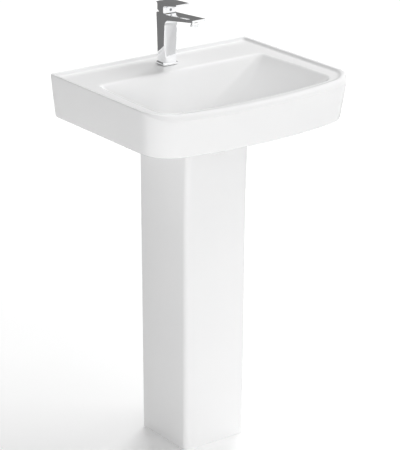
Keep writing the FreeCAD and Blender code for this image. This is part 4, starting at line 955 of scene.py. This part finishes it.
# ---------------------------------------------------------------- waste


@dataclass
class Waste:
    """The click plug over the waste, and the spring that lifts it."""

    wire: float = 0.0005
    turns: int = 6
    steps_a_turn: int = 32
    wire_sides: int = 10
    travel: float = 0.010

    def cap(self) -> None:
        """The plug's cap, slightly domed, with a rolled edge."""
        centre, radius, height = round_box("plug_cap")
        bm = bmesh.new()
        lathe(bm, centre, UP, (
            (0.0, height), (radius * 0.3, height - 0.0001), (radius * 0.6, height - 0.0003),
            (radius * 0.85, height - 0.0007), (radius - 0.0012, height - 0.0013),
            (radius - 0.0003, height - 0.0019), (radius, 0.0007), (radius - 0.0003, 0.0002),
            (radius - 0.0010, 0.0), (0.0, 0.0)), 96)
        Piece("plug_cover", Body.PLUG, Slot.CHROME, ("plug_cap",), CHROME_SHARP).close(bm)

    def spring(self) -> None:
        """The plug's spring, a coil of round wire."""
        low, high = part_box("plug_spring")
        middle = Vector(((low.x + high.x) / 2, (low.y + high.y) / 2, 0))
        radius, rise = (high.x - low.x) / 2 - self.wire, high.z - low.z - 2 * self.wire
        bm = bmesh.new()
        count, rings = self.turns * self.steps_a_turn, []
        for i in range(count + 1):
            angle = math.tau * self.turns * i / count
            out = Vector((math.cos(angle), math.sin(angle), 0))
            spine = middle + out * radius + UP * (low.z + self.wire + rise * i / count)
            rings.append([bm.verts.new(spine + self.wire * (out * math.cos(a) + UP * math.sin(a)))
                          for a in (math.tau * k / self.wire_sides for k in range(self.wire_sides))])
        for ring, after in zip(rings, rings[1:]):
            for k in range(self.wire_sides):
                bm.faces.new((ring[k - 1], ring[k], after[k], after[k - 1]))
        bm.faces.new(rings[0])
        bm.faces.new(rings[-1])
        obj = Piece("plug_coil", Body.FIXTURE, Slot.STEEL, ("plug_spring",), 60.0).close(bm)
        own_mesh(obj)

    def build(self) -> None:
        """Builds the two pieces of the waste that are made here."""
        self.cap()
        self.spring()


# ---------------------------------------------------------------- stage


@dataclass(frozen=True)
class Ramp:
    """A value that eases from one number to another as its input goes from low to high."""

    low: float
    high: float
    at_low: float
    at_high: float

    def node(self, nodes: bpy.types.Nodes) -> bpy.types.Node:
        """Adds the ramp to a shader's nodes."""
        made = nodes.new("ShaderNodeMapRange")
        made.interpolation_type = "SMOOTHSTEP"
        set_inputs(made, {"From Min": self.low, "From Max": self.high,
                          "To Min": self.at_low, "To Max": self.at_high})
        return made


@dataclass(frozen=True)
class Lamp:
    """A soft square light that faces the object and that the polish doesn't show."""

    name: str
    place: tuple[float, float, float]
    size: float
    power: float

    def hang(self, aim: Vector) -> None:
        """Adds the light to the scene, turned towards a point."""
        light = bpy.data.lights.new(self.name, "AREA")
        light.size, light.energy = self.size, self.power
        obj = link(self.name, light)
        obj.location = self.place
        obj.rotation_euler = (aim - Vector(self.place)).to_track_quat("-Z", "Y").to_euler()
        obj.visible_glossy = False


@dataclass
class Studio:
    """Pale floor, soft light and the camera."""

    target: tuple[float, float, float] = (0.0, 0.010, 0.430)
    distance: float = 4.4544
    azimuth_deg: float = 36.42
    elevation_deg: float = 21.25
    focal_share: float = 2028.5 / 450.0
    shift: tuple[float, float] = (-0.0101, 0.0757)
    sensor: float = 36.0
    lit_point: tuple[float, float, float] = (0.0, 0.0, 0.75)
    lamps: tuple[Lamp, ...] = (
        Lamp("key", (3.9, -1.4, 6.0), 3.8, 176.0),
        Lamp("top", (3.2, 3.2, 5.5), 3.6, 255.0),
        Lamp("front", (-4.7, -5.0, 1.5), 3.2, 100.0))
    # what the polish mirrors, from front to back
    mirrored: Ramp = Ramp(0.32, 0.68, 1.15, 0.20)
    # the light from around, towards its dim side at the upper left, and towards the right
    dim_side: tuple[float, float, float] = (-0.50, 0.22, 0.84)
    towards_dim: Ramp = Ramp(0.35, 0.86, 1.06, 0.08)
    towards_right: Ramp = Ramp(0.05, 0.80, 1.0, 0.15)
    floor_glow: float = 0.10

    def world(self) -> None:
        """Plain white behind everything, and a studio with a dim back for the reflections."""
        world = bpy.data.worlds.new("studio")
        bpy.context.scene.world = world
        world.use_nodes = True
        nodes = world.node_tree.nodes
        nodes.clear()
        out, path = nodes.new("ShaderNodeOutputWorld"), nodes.new("ShaderNodeLightPath")
        place, split = nodes.new("ShaderNodeTexCoord"), nodes.new("ShaderNodeSeparateXYZ")
        seen, fill, mirror = (nodes.new("ShaderNodeBackground") for _ in range(3))
        for back in (seen, fill, mirror):
            set_inputs(back, {"Color": (1, 1, 1, 1)})
        away, shared = nodes.new("ShaderNodeVectorMath"), nodes.new("ShaderNodeMath")
        away.operation, shared.operation = "DOT_PRODUCT", "MULTIPLY"
        set_inputs(away, {1: self.dim_side})
        ramps = (self.mirrored, self.towards_dim, self.towards_right)
        depth, dim, right = (ramp.node(nodes) for ramp in ramps)
        soft, whole = nodes.new("ShaderNodeMixShader"), nodes.new("ShaderNodeMixShader")
        join(world.node_tree, (
            (place, "Generated", split, "Vector"), (split, "Y", depth, "Value"),
            (depth, "Result", mirror, "Strength"), (place, "Generated", away, 0),
            (away, "Value", dim, "Value"), (split, "X", right, "Value"), (dim, "Result", shared, 0),
            (right, "Result", shared, 1), (shared, "Value", fill, "Strength"),
            (path, "Is Glossy Ray", soft, "Fac"), (fill, "Background", soft, 1),
            (mirror, "Background", soft, 2), (path, "Is Camera Ray", whole, "Fac"),
            (soft, "Shader", whole, 1), (seen, "Background", whole, 2), (whole, "Shader", out, "Surface")))

    def floor(self) -> None:
        """A plain pale floor that fades into the white behind it."""
        bm = bmesh.new()
        bmesh.ops.create_grid(bm, x_segments=1, y_segments=1, size=12.0)
        obj = mesh_object(bm, "floor")
        material = bpy.data.materials.new("pale_floor")
        material.use_nodes = True
        set_inputs(material.node_tree.nodes["Principled BSDF"], {
            "Base Color": (0.9, 0.9, 0.9, 1), "Roughness": 0.9, "Specular IOR Level": 0.0,
            "Emission Color": (1, 1, 1, 1), "Emission Strength": self.floor_glow})
        obj.data.materials.append(material)
        obj.visible_glossy = False

    def camera(self) -> None:
        """The camera, level and a long way off."""
        data = bpy.data.cameras.new("camera")
        data.sensor_width = self.sensor
        data.lens = self.sensor * self.focal_share
        data.shift_x, data.shift_y = self.shift
        data.clip_end = 60.0
        obj = link("camera", data)
        a, e = math.radians(self.azimuth_deg), math.radians(self.elevation_deg)
        forward = Vector((math.sin(a) * math.cos(e), math.cos(a) * math.cos(e), -math.sin(e)))
        obj.location = Vector(self.target) - forward * self.distance
        obj.rotation_euler = forward.to_track_quat("-Z", "Y").to_euler()
        bpy.context.scene.camera = obj

    def build(self) -> None:
        """Sets the stage."""
        bpy.context.scene.view_settings.view_transform = "Standard"
        self.world()
        self.floor()
        for lamp in self.lamps:
            lamp.hang(Vector(self.lit_point))
        self.camera()


def dress_nodes() -> None:
    """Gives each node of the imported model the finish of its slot."""
    for part in frame["record"]["subparts"]:
        paint(frame["nodes"][part["node"]], Slot(part["material_slot"]))


def main() -> None:
    """Builds the finishes, the stage and every sub-assembly."""
    logging.basicConfig(level=logging.INFO)
    mottle_group()
    ripple_group()
    brush_group()
    dress_nodes()
    Studio().build()
    Basin().build()
    Pedestal().build()
    Tap().build()
    Waste().build()


if __name__ == "__main__":
    main()
